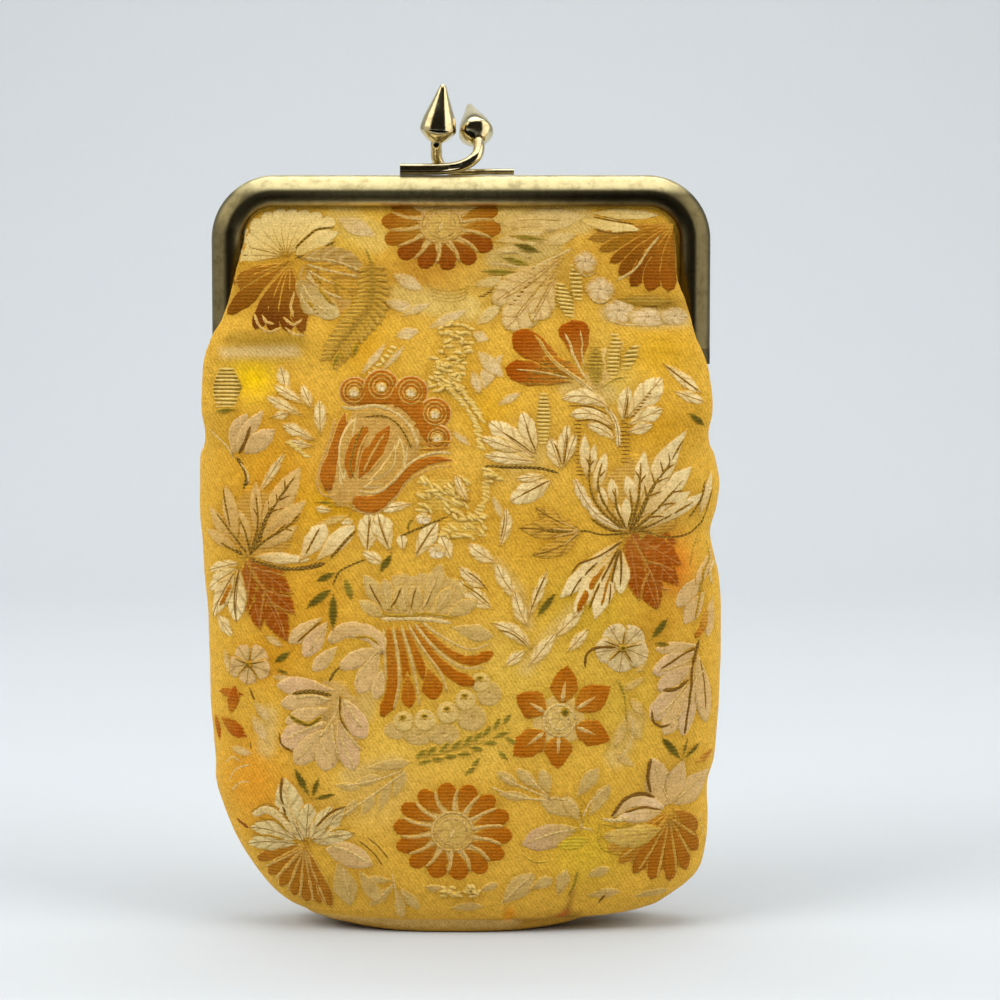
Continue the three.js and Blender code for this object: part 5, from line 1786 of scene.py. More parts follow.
def grey_leaves(weave):
    weave.disc(dyed(FADED, "C89A48", fade=1.2), (-20.4, 101.6), 5.8, 5.4)
    weave.leaf(GREY, (-25.6, 105.8), (-14.8, 103.6), 4.2, 0.14)
    weave.leaf(OCHRE._replace(rim=0.12, rib=0), (-24.8, 105.0), (-15.8, 99.4), 5.6, 0.05)
    weave.leaf(GREY._replace(fill="D8B870"), (-25.8, 103.0), (-19.0, 96.8), 5.6, -0.1)
    weave.lines(
        CORD, 0.5,
        (-25.0, 106.0, -20.4, 105.6, -15.3, 103.7), (-24.6, 105.0, -20.5, 103.9, -16.0, 103.0),
        (-24.5, 104.2, -21.8, 102.6, -17.6, 101.0), (-24.5, 104.0, -22.5, 101.0, -20.0, 98.5),
        (-25.3, 102.0, -23.5, 99.2, -21.0, 97.0), (-25.6, 100.4, -24.6, 98.6, -22.7, 97.2),
        (-24.8, 103.4, -21.8, 100.8, -18.8, 99.6),
    )
    weave.line(OLIVE, 0.7, (-22.6, 101.4), (-21.6, 100.0), (-20.4, 98.7))
    weave.line(OLIVE, 0.6, (-24.4, 99.2), (-23.0, 97.8))
    weave.line(OLIVE, 0.5, (-20.6, 102.4), (-18.4, 101.2), (-16.8, 100.4))


def gold_fern(weave):
    stem = (
        (-15.3, 107.6), (-14.3, 105.0), (-14.0, 101.0), (-14.6, 98.0), (-16.5, 95.5), (-19.0, 92.5),
        (-20.5, 90.0),
    )
    # A bed of painted shade under the fern
    weave.line(SHADOW_BED, 6.0, *stem[1:])
    weave.line(OLIVE, 0.8, *stem)
    weave.fern(dyed(GOLD, "CEA23E", "C09432"), 20, 3.0, 0.95, *stem[1:])
    weave.leaves(OLIVE, (-19.3, 91.5), (-20.5, 88.3, 1.1), (-18.4, 89.6, 0.8))
    weave.leaf(OLIVE, (-16.2, 93.0), (-17.3, 90.2), 1.1)
    weave.scatter(
        STRAY,
        (-16.2, 87.2, -11.8, 92.8, 1.7), (-13.2, 87.6, -8.8, 92.4, 1.6), (-10.6, 93.6, -6.6, 94.6, 2.6),
        (-11.0, 103.6, -6.0, 101.0, 2.8), (-5.6, 94.8, 1.2, 98.0, 2.2), (-20.0, 112.6, -13.4, 109.4, 3.4),
        (-12.4, 99.4, -7.0, 97.6, 2.4), (-9.8, 96.8, -4.6, 99.0, 1.8),
    )
    weave.dashes(GOLD, 0.9, 1.0, (-14.6, 87.4), (-10.4, 92.4))


def top_right(weave):
    for drop in range(4):
        z = 101.2 - 0.55 * drop
        weave.line(
            OLIVE, 0.4, (-5.8 + 0.4 * drop, z + 1.6), (-4.4, z), (-1.6, z - 0.4), (0.6, z + 0.1),
            (1.8 - 0.4 * drop, z + 1.2),
        )
    weave.scatter(
        dyed(FADED, "E0C27C", "DCB86C"),
        (6.0, 111.4, 20.0, 112.8, 4.6), (5.0, 108.6, 13.6, 110.2, 2.6), (4.4, 106.6, 12.8, 108.8, 2.0),
        (1.6, 101.6, 8.0, 103.0, 2.2), (2.2, 95.4, 6.4, 98.8, 2.6), (12.4, 108.4, 18.4, 109.8, 2.8),
    )
    weave.lines(
        OLIVE, 0.35,
        (8.0, 110.8, 11.4, 111.0, 15.0, 110.6), (9.0, 111.9, 12.0, 112.2, 15.6, 111.9),
    )
    weave.leaves(OLIVE, (13.8, 108.8), (7.4, 109.6, 1.2))
    weave.leaf(GREEN, (12.8, 106.9), (8.0, 108.3), 1.6)
    weave.scatter(OLIVE, (10.9, 104.8, 6.3, 106.2, 1.5), (9.2, 103.7, 2.8, 104.0, 1.4))
    weave.lines(CORD, 0.45, (6.4, 106.9, 8.6, 107.0, 11.0, 106.0), (4.2, 105.2, 6.8, 105.0, 9.6, 104.4))
    weave.ticks(BROWN, 0.9, (7.6, 102.8), (5.4, 101.3), (3.0, 99.8))


def cream_leaves(weave):
    cream = dyed(PLAIN, "E2C07A", "D8B062", fade=0.8)
    weave.leaf(cream, (16.6, 106.4), (4.8, 98.8), 4.6, belly=0.66, round_=0.55)
    weave.leaf(cream, (15.8, 104.8), (7.0, 94.6), 5.4, belly=0.7, round_=0.55)
    weave.leaf(cream, (15.2, 103.4), (11.2, 95.8), 4.2, belly=0.6)
    weave.line(CORD, 0.6, (17.6, 107.6), (14.0, 105.8), (11.0, 104.2))
    weave.lines(
        dyed(CORD, "CFA658"), 0.35,
        (14.4, 104.8, 10.4, 101.6, 6.6, 99.6), (14.0, 103.4, 10.6, 99.4, 8.0, 96.2),
        (14.2, 102.2, 12.6, 99.4, 11.4, 97.2),
    )
    weave.ticks(BROWN, 0.5, (11.0, 102.4), (9.4, 100.4), (7.6, 98.4), step=0.9)
    weave.ladder((17.2, 96.6), (15.5, 102.2), 2.5, 9, lean=-0.1)
    weave.ladder((18.6, 99.2), (17.8, 105.2), 2.0, 9)


def striped_fan(weave):
    for x, z, wide, high in (
        (19.6, 105.4, 2.1, 2.2), (22.0, 101.0, 2.5, 2.5), (25.0, 97.6, 2.8, 2.2), (29.6, 96.6, 3.4, 1.8),
        (33.8, 96.8, 2.6, 1.7),
    ):
        weave.disc(dyed(PLAIN, "E2C48C", fade=1.1), (x, z), wide, high)
    weave.line(CORD, 0.5, (20.3, 99.8), (22.0, 98.9), (23.7, 99.8))
    weave.lines(CORD, 0.4, (18.4, 104.2, 19.6, 103.2, 21.4, 103.8), (23.0, 96.3, 25.6, 95.5, 28.6, 95.4))
    for tip, wide, dye in (
        ((20.0, 109.0), 2.6, "AC7C28"), ((21.6, 107.2), 2.8, "A2701A"), ((23.4, 105.2), 3.0, "925A0E"),
        ((24.8, 103.2), 3.2, "8E540C"), ((26.8, 101.4), 3.4, "8E4E0A"), ((29.6, 100.6), 3.6, "94520A"),
        ((32.8, 100.6), 3.6, "9A580C"),
    ):
        weave.leaf(
            STRIPED._replace(fill=dye, trim="C88E38"), (33.4, 111.6), tip, wide, belly=0.68, round_=0.5,
        )
    weave.line(CORD, 0.5, (24.5, 102.4), (27.5, 104.3), (29.5, 107.2), (31.4, 109.6))
    weave.leaf(dyed(FADED, "A88430", "B89038", fade=0.9), (34.0, 99.2), (24.6, 99.6), 2.4)
    weave.scatter(FAN, (18.6, 112.0, 28.6, 110.4, 2.8), (20.4, 113.2, 31.6, 112.8, 2.4))
    weave.lines(
        BROWN, 0.4,
        (20.8, 112.6, 23.4, 112.0, 27.4, 111.4), (21.0, 110.6, 24.2, 109.9, 27.6, 110.2),
    )


def middle_left(weave):
    weave.ladder((-37.4, 81.6), (-37.2, 88.8), 4.2, 12)
    weave.leaf(OLIVE, (-39.4, 81.6), (-35.4, 82.2), 1.2)
    weave.scatter(
        PLAIN._replace(fade=0.7),
        (-27.4, 83.0, -28.8, 89.2, 2.2), (-24.6, 80.8, -31.2, 84.2, 2.0), (-23.6, 82.4, -30.0, 86.0, 1.8),
        (-22.6, 77.0, -28.6, 79.8, 2.2), (-22.2, 77.6, -22.6, 83.8, 2.2), (-23.4, 81.6, -25.4, 86.2, 1.8),
        (-23.0, 76.2, -27.8, 77.0, 1.6), (-30.6, 80.6, -27.2, 81.6, 1.6), (-33.0, 67.4, -27.8, 75.6, 1.6),
        belly=0.6,
    )
    weave.scatter(
        EDGED,
        (-36.2, 75.0, -34.0, 81.6, 3.6), (-35.6, 75.4, -31.4, 82.0, 2.8), (-34.5, 75.0, -29.5, 79.0, 3.4),
    )
    weave.line(BROWN, 0.6, (-35.3, 75.0), (-34.2, 77.0), (-33.4, 79.4))
    weave.line(CORD, 0.5, (-40.0, 79.0), (-37.0, 76.0), (-36.2, 74.4))
    weave.line(STITCH, 0.9, (-35.8, 74.5), (-34.5, 72.8), (-34.0, 71.0), (-34.5, 69.5))
    weave.line(CORD, 0.4, (-35.0, 73.6), (-33.9, 72.0), (-33.7, 70.2))
    weave.dashes(GOLD, 0.8, 1.2, (-27.6, 77.0), (-26.0, 75.8), (-24.0, 74.2))


def middle_sprays(weave):
    weave.scatter(
        PLAIN,
        (-15.0, 59.0, -14.6, 66.0, 3.2), (-11.2, 59.2, -13.4, 65.8, 3.2), (-7.2, 67.2, -13.2, 66.2, 1.8),
        (-11.6, 57.2, -15.8, 59.6, 1.8), (-7.6, 58.2, -3.8, 64.4, 2.8), (-9.2, 59.4, -9.6, 62.4, 1.8),
        (1.4, 62.0, -2.6, 64.2, 1.9), (-2.4, 68.9, -6.4, 70.4, 1.6), (-1.4, 57.8, -3.4, 62.2, 2.2),
        belly=0.6,
    )
    weave.disc(PALE_DOT, (-6.0, 64.8), 1.4, 1.1)
    weave.disc(PLAIN, (-1.9, 62.8), 1.2, 0.9)
    weave.disc(PALE_DOT, (-3.9, 59.5), 1.5, 1.3)
    weave.lines(
        BROWN, 0.3,
        (-14.9, 60.0, -14.7, 63.0, -14.4, 65.0), (-11.6, 60.2, -12.6, 62.8, -13.2, 64.8),
        (-7.2, 59.2, -5.8, 61.4, -4.4, 63.6),
    )
    weave.line(GREEN, 0.8, (-7.5, 65.0), (-8.5, 63.6), (-8.2, 62.6))
    weave.line(STITCH, 0.5, (-9.6, 62.0), (-5.4, 63.8), (-1.2, 65.4))
    weave.clump((-6.6, 65.6), (1.2, 71.4), 46, 2.0, -0.55)
    weave.clump((-3.2, 61.4), (3.8, 65.4), 24, 1.7, -0.5)


def gold_trail(weave):
    weave.clump((-5.0, 85.0), (0.6, 91.0), 52, 1.4)
    weave.clump((-3.4, 90.0), (1.8, 95.8), 38, 1.3)
    weave.dashes(GOLD, 0.65, 1.4, (-2.4, 86.0), (0.6, 82.6), (2.4, 79.4), (3.2, 75.4))
    weave.dashes(GOLD, 0.65, 1.4, (-0.8, 86.0), (1.8, 82.8), (3.6, 79.8))
    weave.dashes(GOLD, 0.6, 1.3, (3.8, 71.2), (3.8, 68.0), (2.4, 65.0), (3.4, 61.8))
    weave.scatter(
        STRAY,
        (2.0, 84.4, 6.6, 91.0, 3.0), (2.4, 91.4, 6.8, 87.0, 3.0), (1.6, 88.4, 3.0, 84.4, 2.2),
        (1.6, 94.2, 4.4, 93.0, 2.2), (-1.8, 78.8, 1.6, 76.2, 1.6), (5.4, 82.6, 9.6, 84.8, 1.8),
        (6.8, 64.2, 4.8, 68.6, 1.6),
    )


def slender_leaves(weave):
    weave.scatter(
        PLAIN._replace(fade=0.6),
        (1.2, 67.3, -1.0, 72.0, 1.7, 0.05), (6.0, 60.2, 7.0, 66.8, 2.0, -0.08),
        (5.6, 57.8, 0.8, 61.0, 2.4, 0.05), (9.4, 52.0, 5.4, 58.0, 2.4, 0.08),
        (5.2, 50.4, -0.6, 55.4, 2.8, 0.06), (4.0, 53.8, -0.6, 57.4, 2.0, 0.06),
        (11.2, 44.0, 4.6, 48.2, 2.4, -0.1), (10.6, 47.6, 8.4, 53.6, 2.2, 0.06),
        (10.5, 48.8, 13.8, 57.0, 1.8, 0.0), (14.6, 45.8, 19.6, 50.8, 2.2, 0.0),
        (10.6, 41.2, 15.0, 46.8, 2.2, 0.0), (16.6, 43.4, 20.4, 47.6, 1.8, 0.0),
        (6.6, 41.2, 10.2, 44.0, 1.8, 0.0),
    )
    weave.lines(
        BROWN, 0.3,
        (0.8, 56.4, 2.4, 55.4, 4.2, 53.4), (0.2, 54.4, 2.4, 53.0, 4.6, 51.0),
        (6.2, 61.6, 6.7, 63.8, 6.8, 65.4), (5.8, 47.2, 8.2, 46.4, 10.4, 44.6),
        (11.0, 50.4, 12.2, 53.4, 13.2, 55.6),
    )
    weave.scatter(
        FADED._replace(trim="E8CC88", rim=0.2),
        (26.2, 34.2, 28.6, 29.6, 2.4), (26.0, 33.0, 24.2, 28.4, 2.2), (26.6, 36.4, 29.0, 33.6, 2.0),
        (25.2, 37.4, 29.2, 39.6, 1.8), (24.0, 27.8, 27.6, 25.4, 2.0), (27.4, 40.2, 29.4, 42.2, 1.6),
    )
    weave.line(CORD, 0.4, (24.8, 26.6), (26.6, 28.8), (27.2, 31.8), (26.4, 34.2))
    weave.line(OLIVE, 0.4, (23.4, 29.4), (23.0, 27.8))


def dark_leaves(weave):
    weave.scatter(
        GREEN,
        (-19.9, 56.3, -23.2, 54.7, 1.6), (-20.4, 53.8, -24.8, 50.4, 1.8), (-20.3, 53.2, -20.4, 47.0, 1.8),
        (-13.1, 56.0, -10.9, 59.4, 1.6), (11.7, 48.9, 15.1, 53.2, 1.6), (30.0, 45.5, 32.8, 49.2, 1.7),
        (30.4, 45.0, 33.0, 44.8, 1.1), (-26.9, 43.8, -29.8, 41.8, 1.7), (-27.0, 40.0, -29.6, 41.0, 1.0),
        (35.8, 81.6, 38.6, 79.4, 1.5),
    )
    weave.leaf(OLIVE, (-18.5, 55.4), (-17.3, 51.6), 1.7)
    weave.line(STITCH, 0.5, (-15.2, 58.3), (-17.4, 57.4), (-19.4, 56.3), (-20.4, 54.2))
    weave.leaves(
        GREEN, (-23.8, 20.2),
        (-26.6, 25.4, 1.6), (-22.5, 24.0, 1.3), (-19.7, 21.2, 1.3), belly=0.55,
    )
    weave.leaves(GREEN, (34.9, 26.4), (31.6, 30.2, 1.8), (35.9, 30.4, 1.0), (38.0, 29.6, 1.2), belly=0.55)


def small_flowers(weave):
    for x, z, reach, wide, dye in ((25.5, 44.3, 4.4, 3.8, "E0C48A"), (-33.6, 41.7, 3.6, 3.2, "DDB474")):
        petal = dyed(PLAIN, dye, "C8A860", trim="B08A48", veins=4, fade=0.35)
        for turn in np.radians(48 + 72 * np.arange(5)):
            tip = (x + reach * math.cos(turn), z + 0.9 * reach * math.sin(turn))
            weave.leaf(petal, (x, z), tip, wide, belly=0.62, round_=0.5)
        for turn in np.radians(84 + 72 * np.arange(5)):
            far = (x + 0.7 * reach * math.cos(turn), z + 0.6 * reach * math.sin(turn))
            weave.line(BROWN, (0.4, 0.25), (x, z), far)
        weave.disc(GREEN, (x, z), 0.6)
    weave.line(BROWN, 0.6, (19.6, 41.2), (19.8, 43.2), (21.4, 44.3), (24.4, 44.4))
    weave.line(OLIVE, (1.0, 0.4), (24.8, 39.2), (25.8, 36.6), (26.1, 33.0))
    orange = ORANGE._replace(fill="B0560C")
    weave.scatter(
        orange,
        (-38.2, 33.4, -33.8, 30.0, 2.8), (-38.6, 37.6, -34.4, 36.8, 2.0), (-36.6, 33.8, -35.8, 38.4, 2.8),
        (-39.0, 34.0, -38.2, 29.6, 2.0),
    )
    weave.line(BROWN, 0.5, (-33.6, 38.0), (-33.0, 36.4), (-32.2, 34.6))
    weave.scatter(
        FADED._replace(fill="E0BC7C"),
        (-33.0, 36.0, -30.4, 32.6, 2.2), (-33.4, 34.0, -30.8, 29.2, 2.4), (-36.8, 28.6, -33.0, 27.4, 2.0),
        (-31.4, 46.4, -28.2, 44.4, 1.8), (-30.2, 39.8, -26.6, 39.2, 1.8), (-37.6, 44.6, -36.8, 40.0, 1.8),
    )


def lower_left(weave):
    pink = dyed(EDGED, "DEB47E", "D0A668")
    weave.disc(dyed(FADED, "CFA458", fade=1.6), (-21.4, 32.6), 6.6, 7.6)
    for dye, base, tip, wide in (
        (pink, (-20.0, 37.6), (-29.4, 38.4), 3.4), (EDGED, (-20.4, 36.2), (-28.8, 35.4), 3.2),
        (EDGED, (-20.8, 34.8), (-28.0, 32.4), 3.0), (pink, (-21.2, 32.6), (-28.9, 28.8), 4.6),
        (EDGED, (-21.4, 31.6), (-26.4, 25.8), 4.2), (EDGED, (-20.8, 32.4), (-21.6, 24.6), 3.8),
        (pink, (-19.6, 33.2), (-17.0, 24.8), 3.8), (pink, (-19.0, 36.6), (-15.2, 29.8), 3.8),
        (EDGED, (-22.0, 49.2), (-27.4, 45.0), 2.8), (pink, (-21.2, 48.6), (-25.0, 42.8), 3.2),
        (EDGED, (-13.0, 44.4), (-19.4, 41.0), 3.2), (EDGED, (-12.9, 43.6), (-16.4, 37.0), 3.6),
        (EDGED, (-12.6, 41.0), (-13.6, 36.0), 2.4), (EDGED, (-19.6, 44.6), (-23.6, 40.6), 2.6),
    ):
        weave.leaf(dye, base, tip, wide, belly=0.62, round_=0.6)
    weave.line(EDGED, 2.8, (-21.0, 45.2), (-18.6, 47.0), (-15.4, 46.8), (-13.4, 45.6), (-12.5, 43.4))
    weave.line(STITCH, 0.8, (-26.8, 37.0), (-24.2, 37.4), (-22.4, 37.2), (-20.6, 36.7))
    weave.line(CORD, 0.6, (-26.2, 36.3), (-23.4, 36.7), (-20.8, 36.0))
    weave.line(GREEN, 0.9, (-27.5, 33.8), (-26.0, 32.8), (-24.0, 32.1), (-22.2, 33.4))
    weave.line(BROWN, 0.5, (-28.9, 30.8), (-28.5, 29.0), (-26.8, 27.8))
    weave.lines(
        CORD, 0.5,
        (-18.8, 36.4, -17.2, 33.8, -15.6, 31.4), (-19.4, 33.6, -18.4, 31.2, -16.8, 29.2, -15.8, 28.0),
        (-22.5, 29.8, -21.4, 27.6, -20.2, 25.6), (-23.0, 30.0, -24.4, 28.2, -26.0, 26.6),
        (-19.3, 30.5, -18.2, 27.8, -17.2, 25.6), (-19.2, 37.2, -20.2, 33.4, -22.6, 30.0),
        (-20.6, 32.6, -20.2, 29.4, -19.4, 27.0), (-13.0, 44.2, -15.0, 41.8, -16.6, 39.0),
        (-21.2, 48.2, -22.6, 46.0, -24.0, 43.8), (-22.4, 48.8, -24.6, 47.2, -26.6, 45.6),
        (-21.6, 32.4, -24.6, 31.4, -27.6, 29.8),
    )
    weave.line(BROWN, 0.4, (-19.3, 36.8), (-19.1, 33.0), (-18.0, 31.2))
    weave.line(STITCH, 0.6, (-21.0, 38.8), (-20.3, 40.2), (-19.2, 41.4))
    weave.line(OLIVE, 0.6, (-16.9, 46.0), (-14.8, 46.0), (-13.0, 44.8))
    weave.line(BROWN, 0.4, (-26.0, 45.2), (-24.0, 47.0), (-22.4, 48.4))


def lower_right(weave):
    pink = dyed(EDGED, "D8B27E", "CFA668")
    weave.disc(dyed(FADED, "CFA458", fade=1.6), (34.6, 37.6), 4.6, 6.4)
    for dye, base, tip, wide in (
        (EDGED, (37.8, 44.8), (30.6, 44.0), 2.2), (pink, (37.4, 43.8), (30.2, 40.2), 3.8),
        (pink, (36.6, 41.6), (31.0, 37.6), 3.4), (pink, (36.4, 39.0), (29.8, 33.0), 4.6),
        (EDGED, (36.3, 38.6), (32.0, 30.4), 3.8), (pink, (36.7, 40.4), (35.0, 30.2), 3.6),
        (EDGED, (37.4, 43.4), (38.8, 32.4), 4.0), (EDGED, (38.6, 56.0), (34.0, 50.8), 3.2),
        (EDGED, (38.6, 53.4), (35.2, 48.0), 3.2), (EDGED, (39.6, 60.6), (37.0, 54.4), 2.4),
        (EDGED, (39.8, 52.8), (39.0, 46.0), 2.4),
    ):
        weave.leaf(dye, base, tip, wide, belly=0.62, round_=0.6)
    for wide, *route in (
        (0.5, (37.6, 44.4), (34.8, 43.1), (31.6, 41.0)), (0.7, (31.8, 37.6), (34.0, 37.8), (35.8, 39.2)),
        (0.6, (30.1, 34.4), (30.4, 32.6), (31.6, 31.8), (33.0, 32.2)),
        (0.6, (37.6, 45.6), (36.6, 41.4), (36.0, 36.0), (35.3, 30.6)),
        (0.4, (37.8, 42.4), (38.4, 38.6), (38.6, 34.6)),
    ):
        weave.line(BROWN, wide, *route)
    weave.lines(
        CORD, 0.45,
        (35.6, 38.6, 33.2, 35.6, 31.0, 33.4), (35.8, 36.8, 34.4, 33.6, 33.2, 31.6),
        (36.4, 42.4, 33.8, 41.4, 31.2, 40.4), (36.2, 35.4, 36.8, 38.6, 38.4, 41.0),
    )
    weave.line(BARE_AMBER, 1.3, (38.8, 50.4), (38.2, 47.6), (37.0, 45.8))
    weave.lines(
        OLIVE, 0.6,
        (37.4, 62.2, 36.6, 59.6, 36.2, 57.4), (38.8, 61.4, 39.2, 59.0, 38.4, 56.6, 38.0, 54.4),
        (38.2, 57.0, 37.6, 52.0, 37.0, 49.0),
    )
    weave.line(CORD._replace(lift=0.4), 0.9, (40.0, 58.4), (39.4, 56.6), (39.7, 54.4))


def olive_sprig(weave):
    weave.line(OLIVE, 0.6, (-6.8, 26.7), (-3.0, 27.6), (0.0, 28.5), (4.0, 29.5), (8.0, 31.6))
    for x, z, lean in (
        (7.2, 33.0, 0.9), (5.6, 32.2, 1.1), (6.4, 30.6, 0.3), (4.0, 31.0, 0.9), (4.6, 29.2, 0.0),
        (2.6, 30.2, 0.8), (2.4, 28.3, -0.2), (1.0, 29.6, 0.9), (0.4, 27.4, 0.1), (-0.8, 28.9, 0.8),
        (-1.8, 27.0, 0.1), (-2.8, 28.4, 0.9), (-3.8, 26.6, 0.0), (-4.8, 27.9, 0.8), (-5.8, 26.2, 0.3),
        (-6.4, 27.5, 0.7), (2.2, 26.0, 0.9), (6.6, 27.2, -0.8), (7.8, 29.6, -0.5), (1.4, 24.8, 0.6),
    ):
        run, rise = (1.25 * math.cos(lean), 1.25 * math.sin(lean))
        weave.leaf(OLIVE, (x - run, z - rise), (x + run, z + rise), 1.25, round_=0.6)


def lily_left(weave):
    for tip in (
        (-32.4, 10.8), (-30.6, 8.4), (-28.7, 6.4), (-26.6, 4.9), (-24.5, 3.9), (-22.4, 3.6), (-20.6, 3.2),
    ):
        weave.leaf(
            dyed(STRIPED, "B4741A", "B87A22", trim="DDB058"), (-24.6, 13.4), tip, 2.6, belly=0.72,
            round_=0.5,
        )
    for far in ((-31.2, 9.6), (-29.6, 7.4), (-27.6, 5.6), (-25.6, 4.6), (-23.4, 4.0), (-21.4, 3.8)):
        weave.line(dyed(CORD, "DDB468", "D0A050"), 0.5, (-24.8, 12.6), far)
    tan = dyed(PLAIN, "E4CA88", "DCC080", rim=0.16, trim="A88844")
    weave.leaf(tan, (-25.0, 13.4), (-28.2, 24.0), 5.0, 0.04, belly=0.5)
    weave.leaf(tan, (-24.6, 13.6), (-24.2, 19.8), 3.4, belly=0.6)
    weave.scatter(tan, (-26.0, 13.2, -34.0, 13.2, 2.8, -0.06), (-26.0, 13.8, -33.6, 15.8, 3.2, -0.08))
    weave.leaves(tan, (-24.0, 13.8), (-18.3, 19.2, 3.2), (-16.8, 14.9, 2.8), (-20.4, 19.4, 2.6))
    weave.line(CORD, (1.8, 1.2), (-33.0, 17.8), (-31.0, 18.7), (-29.0, 17.6), (-26.5, 14.8))
    weave.line(GREEN, 0.6, (-33.6, 18.2), (-31.0, 19.6), (-28.7, 18.6), (-27.2, 16.8))
    weave.lines(
        OLIVE, 0.5,
        (-32.6, 16.8, -30.4, 17.2, -28.8, 16.4, -27.4, 15.2), (-33.6, 14.6, -30.6, 14.6, -28.0, 14.0),
    )
    weave.line(CORD, 0.5, (-28.0, 23.2), (-27.4, 19.6), (-25.8, 15.4))
    weave.line(BROWN, 0.6, (-28.4, 23.8), (-28.6, 21.0), (-27.8, 17.8))
    weave.line(BROWN, 0.5, (-23.0, 16.0), (-20.6, 18.3), (-18.3, 19.2))
    weave.line(CORD, 0.5, (-23.2, 15.0), (-21.0, 17.4), (-18.8, 18.6))
    weave.line(OLIVE, 0.5, (-20.8, 15.2), (-18.8, 15.6), (-16.9, 14.9))
    weave.line(CORD, 0.5, (-22.6, 13.4), (-21.0, 14.6), (-18.6, 14.8))
    weave.leaf(EDGED, (-21.6, 12.4), (-14.0, 9.8), 4.8, 0.04)
    weave.line(CORD, 0.6, (-20.6, 13.0), (-17.6, 12.0), (-14.4, 10.0))
    weave.line(dyed(BROWN, "9C5A20"), 0.9, (-35.6, 17.2), (-33.8, 15.8))
    weave.lines(
        BROWN, 0.35,
        (-15.0, 14.3, -13.2, 12.8, -11.5, 10.8), (-16.4, 13.8, -14.0, 11.8, -12.4, 9.6),
    )


def lily_right(weave):
    for tip, wide, dye in (
        ((23.0, 12.0), 2.8, "C89434"), ((24.8, 10.0), 3.2, "BC8022"), ((27.2, 8.4), 3.4, "B06C16"),
        ((30.0, 7.4), 3.6, "AC6612"), ((33.0, 7.2), 3.6, "B06A14"), ((35.6, 9.0), 3.6, "AC6814"),
        ((37.4, 12.2), 3.4, "A86614"), ((37.4, 15.6), 3.2, "A86A1A"),
    ):
        weave.leaf(
            dyed(STRIPED, dye, "B4741E", trim="D09A3E"), (33.4, 18.8), tip, wide, belly=0.66, round_=0.5,
        )
    for far in ((25.2, 11.0), (28.0, 9.0), (31.0, 8.0), (34.0, 8.6), (36.2, 11.4), (37.0, 14.6)):
        weave.line(dyed(CORD, "D8A84C", "C89038"), 0.5, (32.8, 17.4), far)
    weave.leaf(EDGED, (32.6, 19.2), (30.0, 27.0), 5.0, belly=0.5)
    weave.scatter(EDGED, (33.6, 19.4, 39.2, 25.2, 4.4), (33.0, 19.4, 35.2, 26.6, 3.8))
    weave.leaf(dyed(PLAIN, "D8B458", "D0A848"), (31.6, 15.8), (22.0, 14.4), 3.6, 0.05)
    weave.leaf(ROSE, (31.8, 18.4), (24.4, 17.2), 2.8)
    weave.line(ROSE, (1.6, 2.4), (24.0, 17.5), (26.0, 19.4), (29.0, 19.9), (32.0, 19.0))
    weave.line(BROWN, 0.7, (23.8, 17.6), (26.0, 20.4), (28.6, 21.2), (30.6, 20.6))
    weave.line(BROWN, 0.5, (26.0, 18.2), (28.8, 19.0), (31.4, 18.7))
    weave.line(CORD, (0.6, 0.9), (22.0, 17.2), (24.2, 16.9), (26.6, 17.4))
    weave.line(OLIVE, 0.6, (22.0, 16.5), (24.4, 15.9), (27.6, 16.3))
    weave.line(OLIVE, 0.5, (22.0, 17.0), (21.6, 14.6), (22.2, 12.5), (25.0, 11.4))
    weave.line(BROWN, 0.7, (30.0, 26.8), (29.5, 24.0), (30.0, 21.4))
    weave.lines(CORD, 0.5, (30.6, 25.6, 31.6, 22.6, 32.8, 20.0), (38.2, 24.4, 35.8, 22.0, 33.8, 20.0))
    weave.line(CORD, 0.4, (37.8, 18.2), (38.4, 13.6), (37.6, 9.8))
    weave.leaf(BARE_AMBER, (36.8, 25.8), (39.8, 28.4), 1.6)


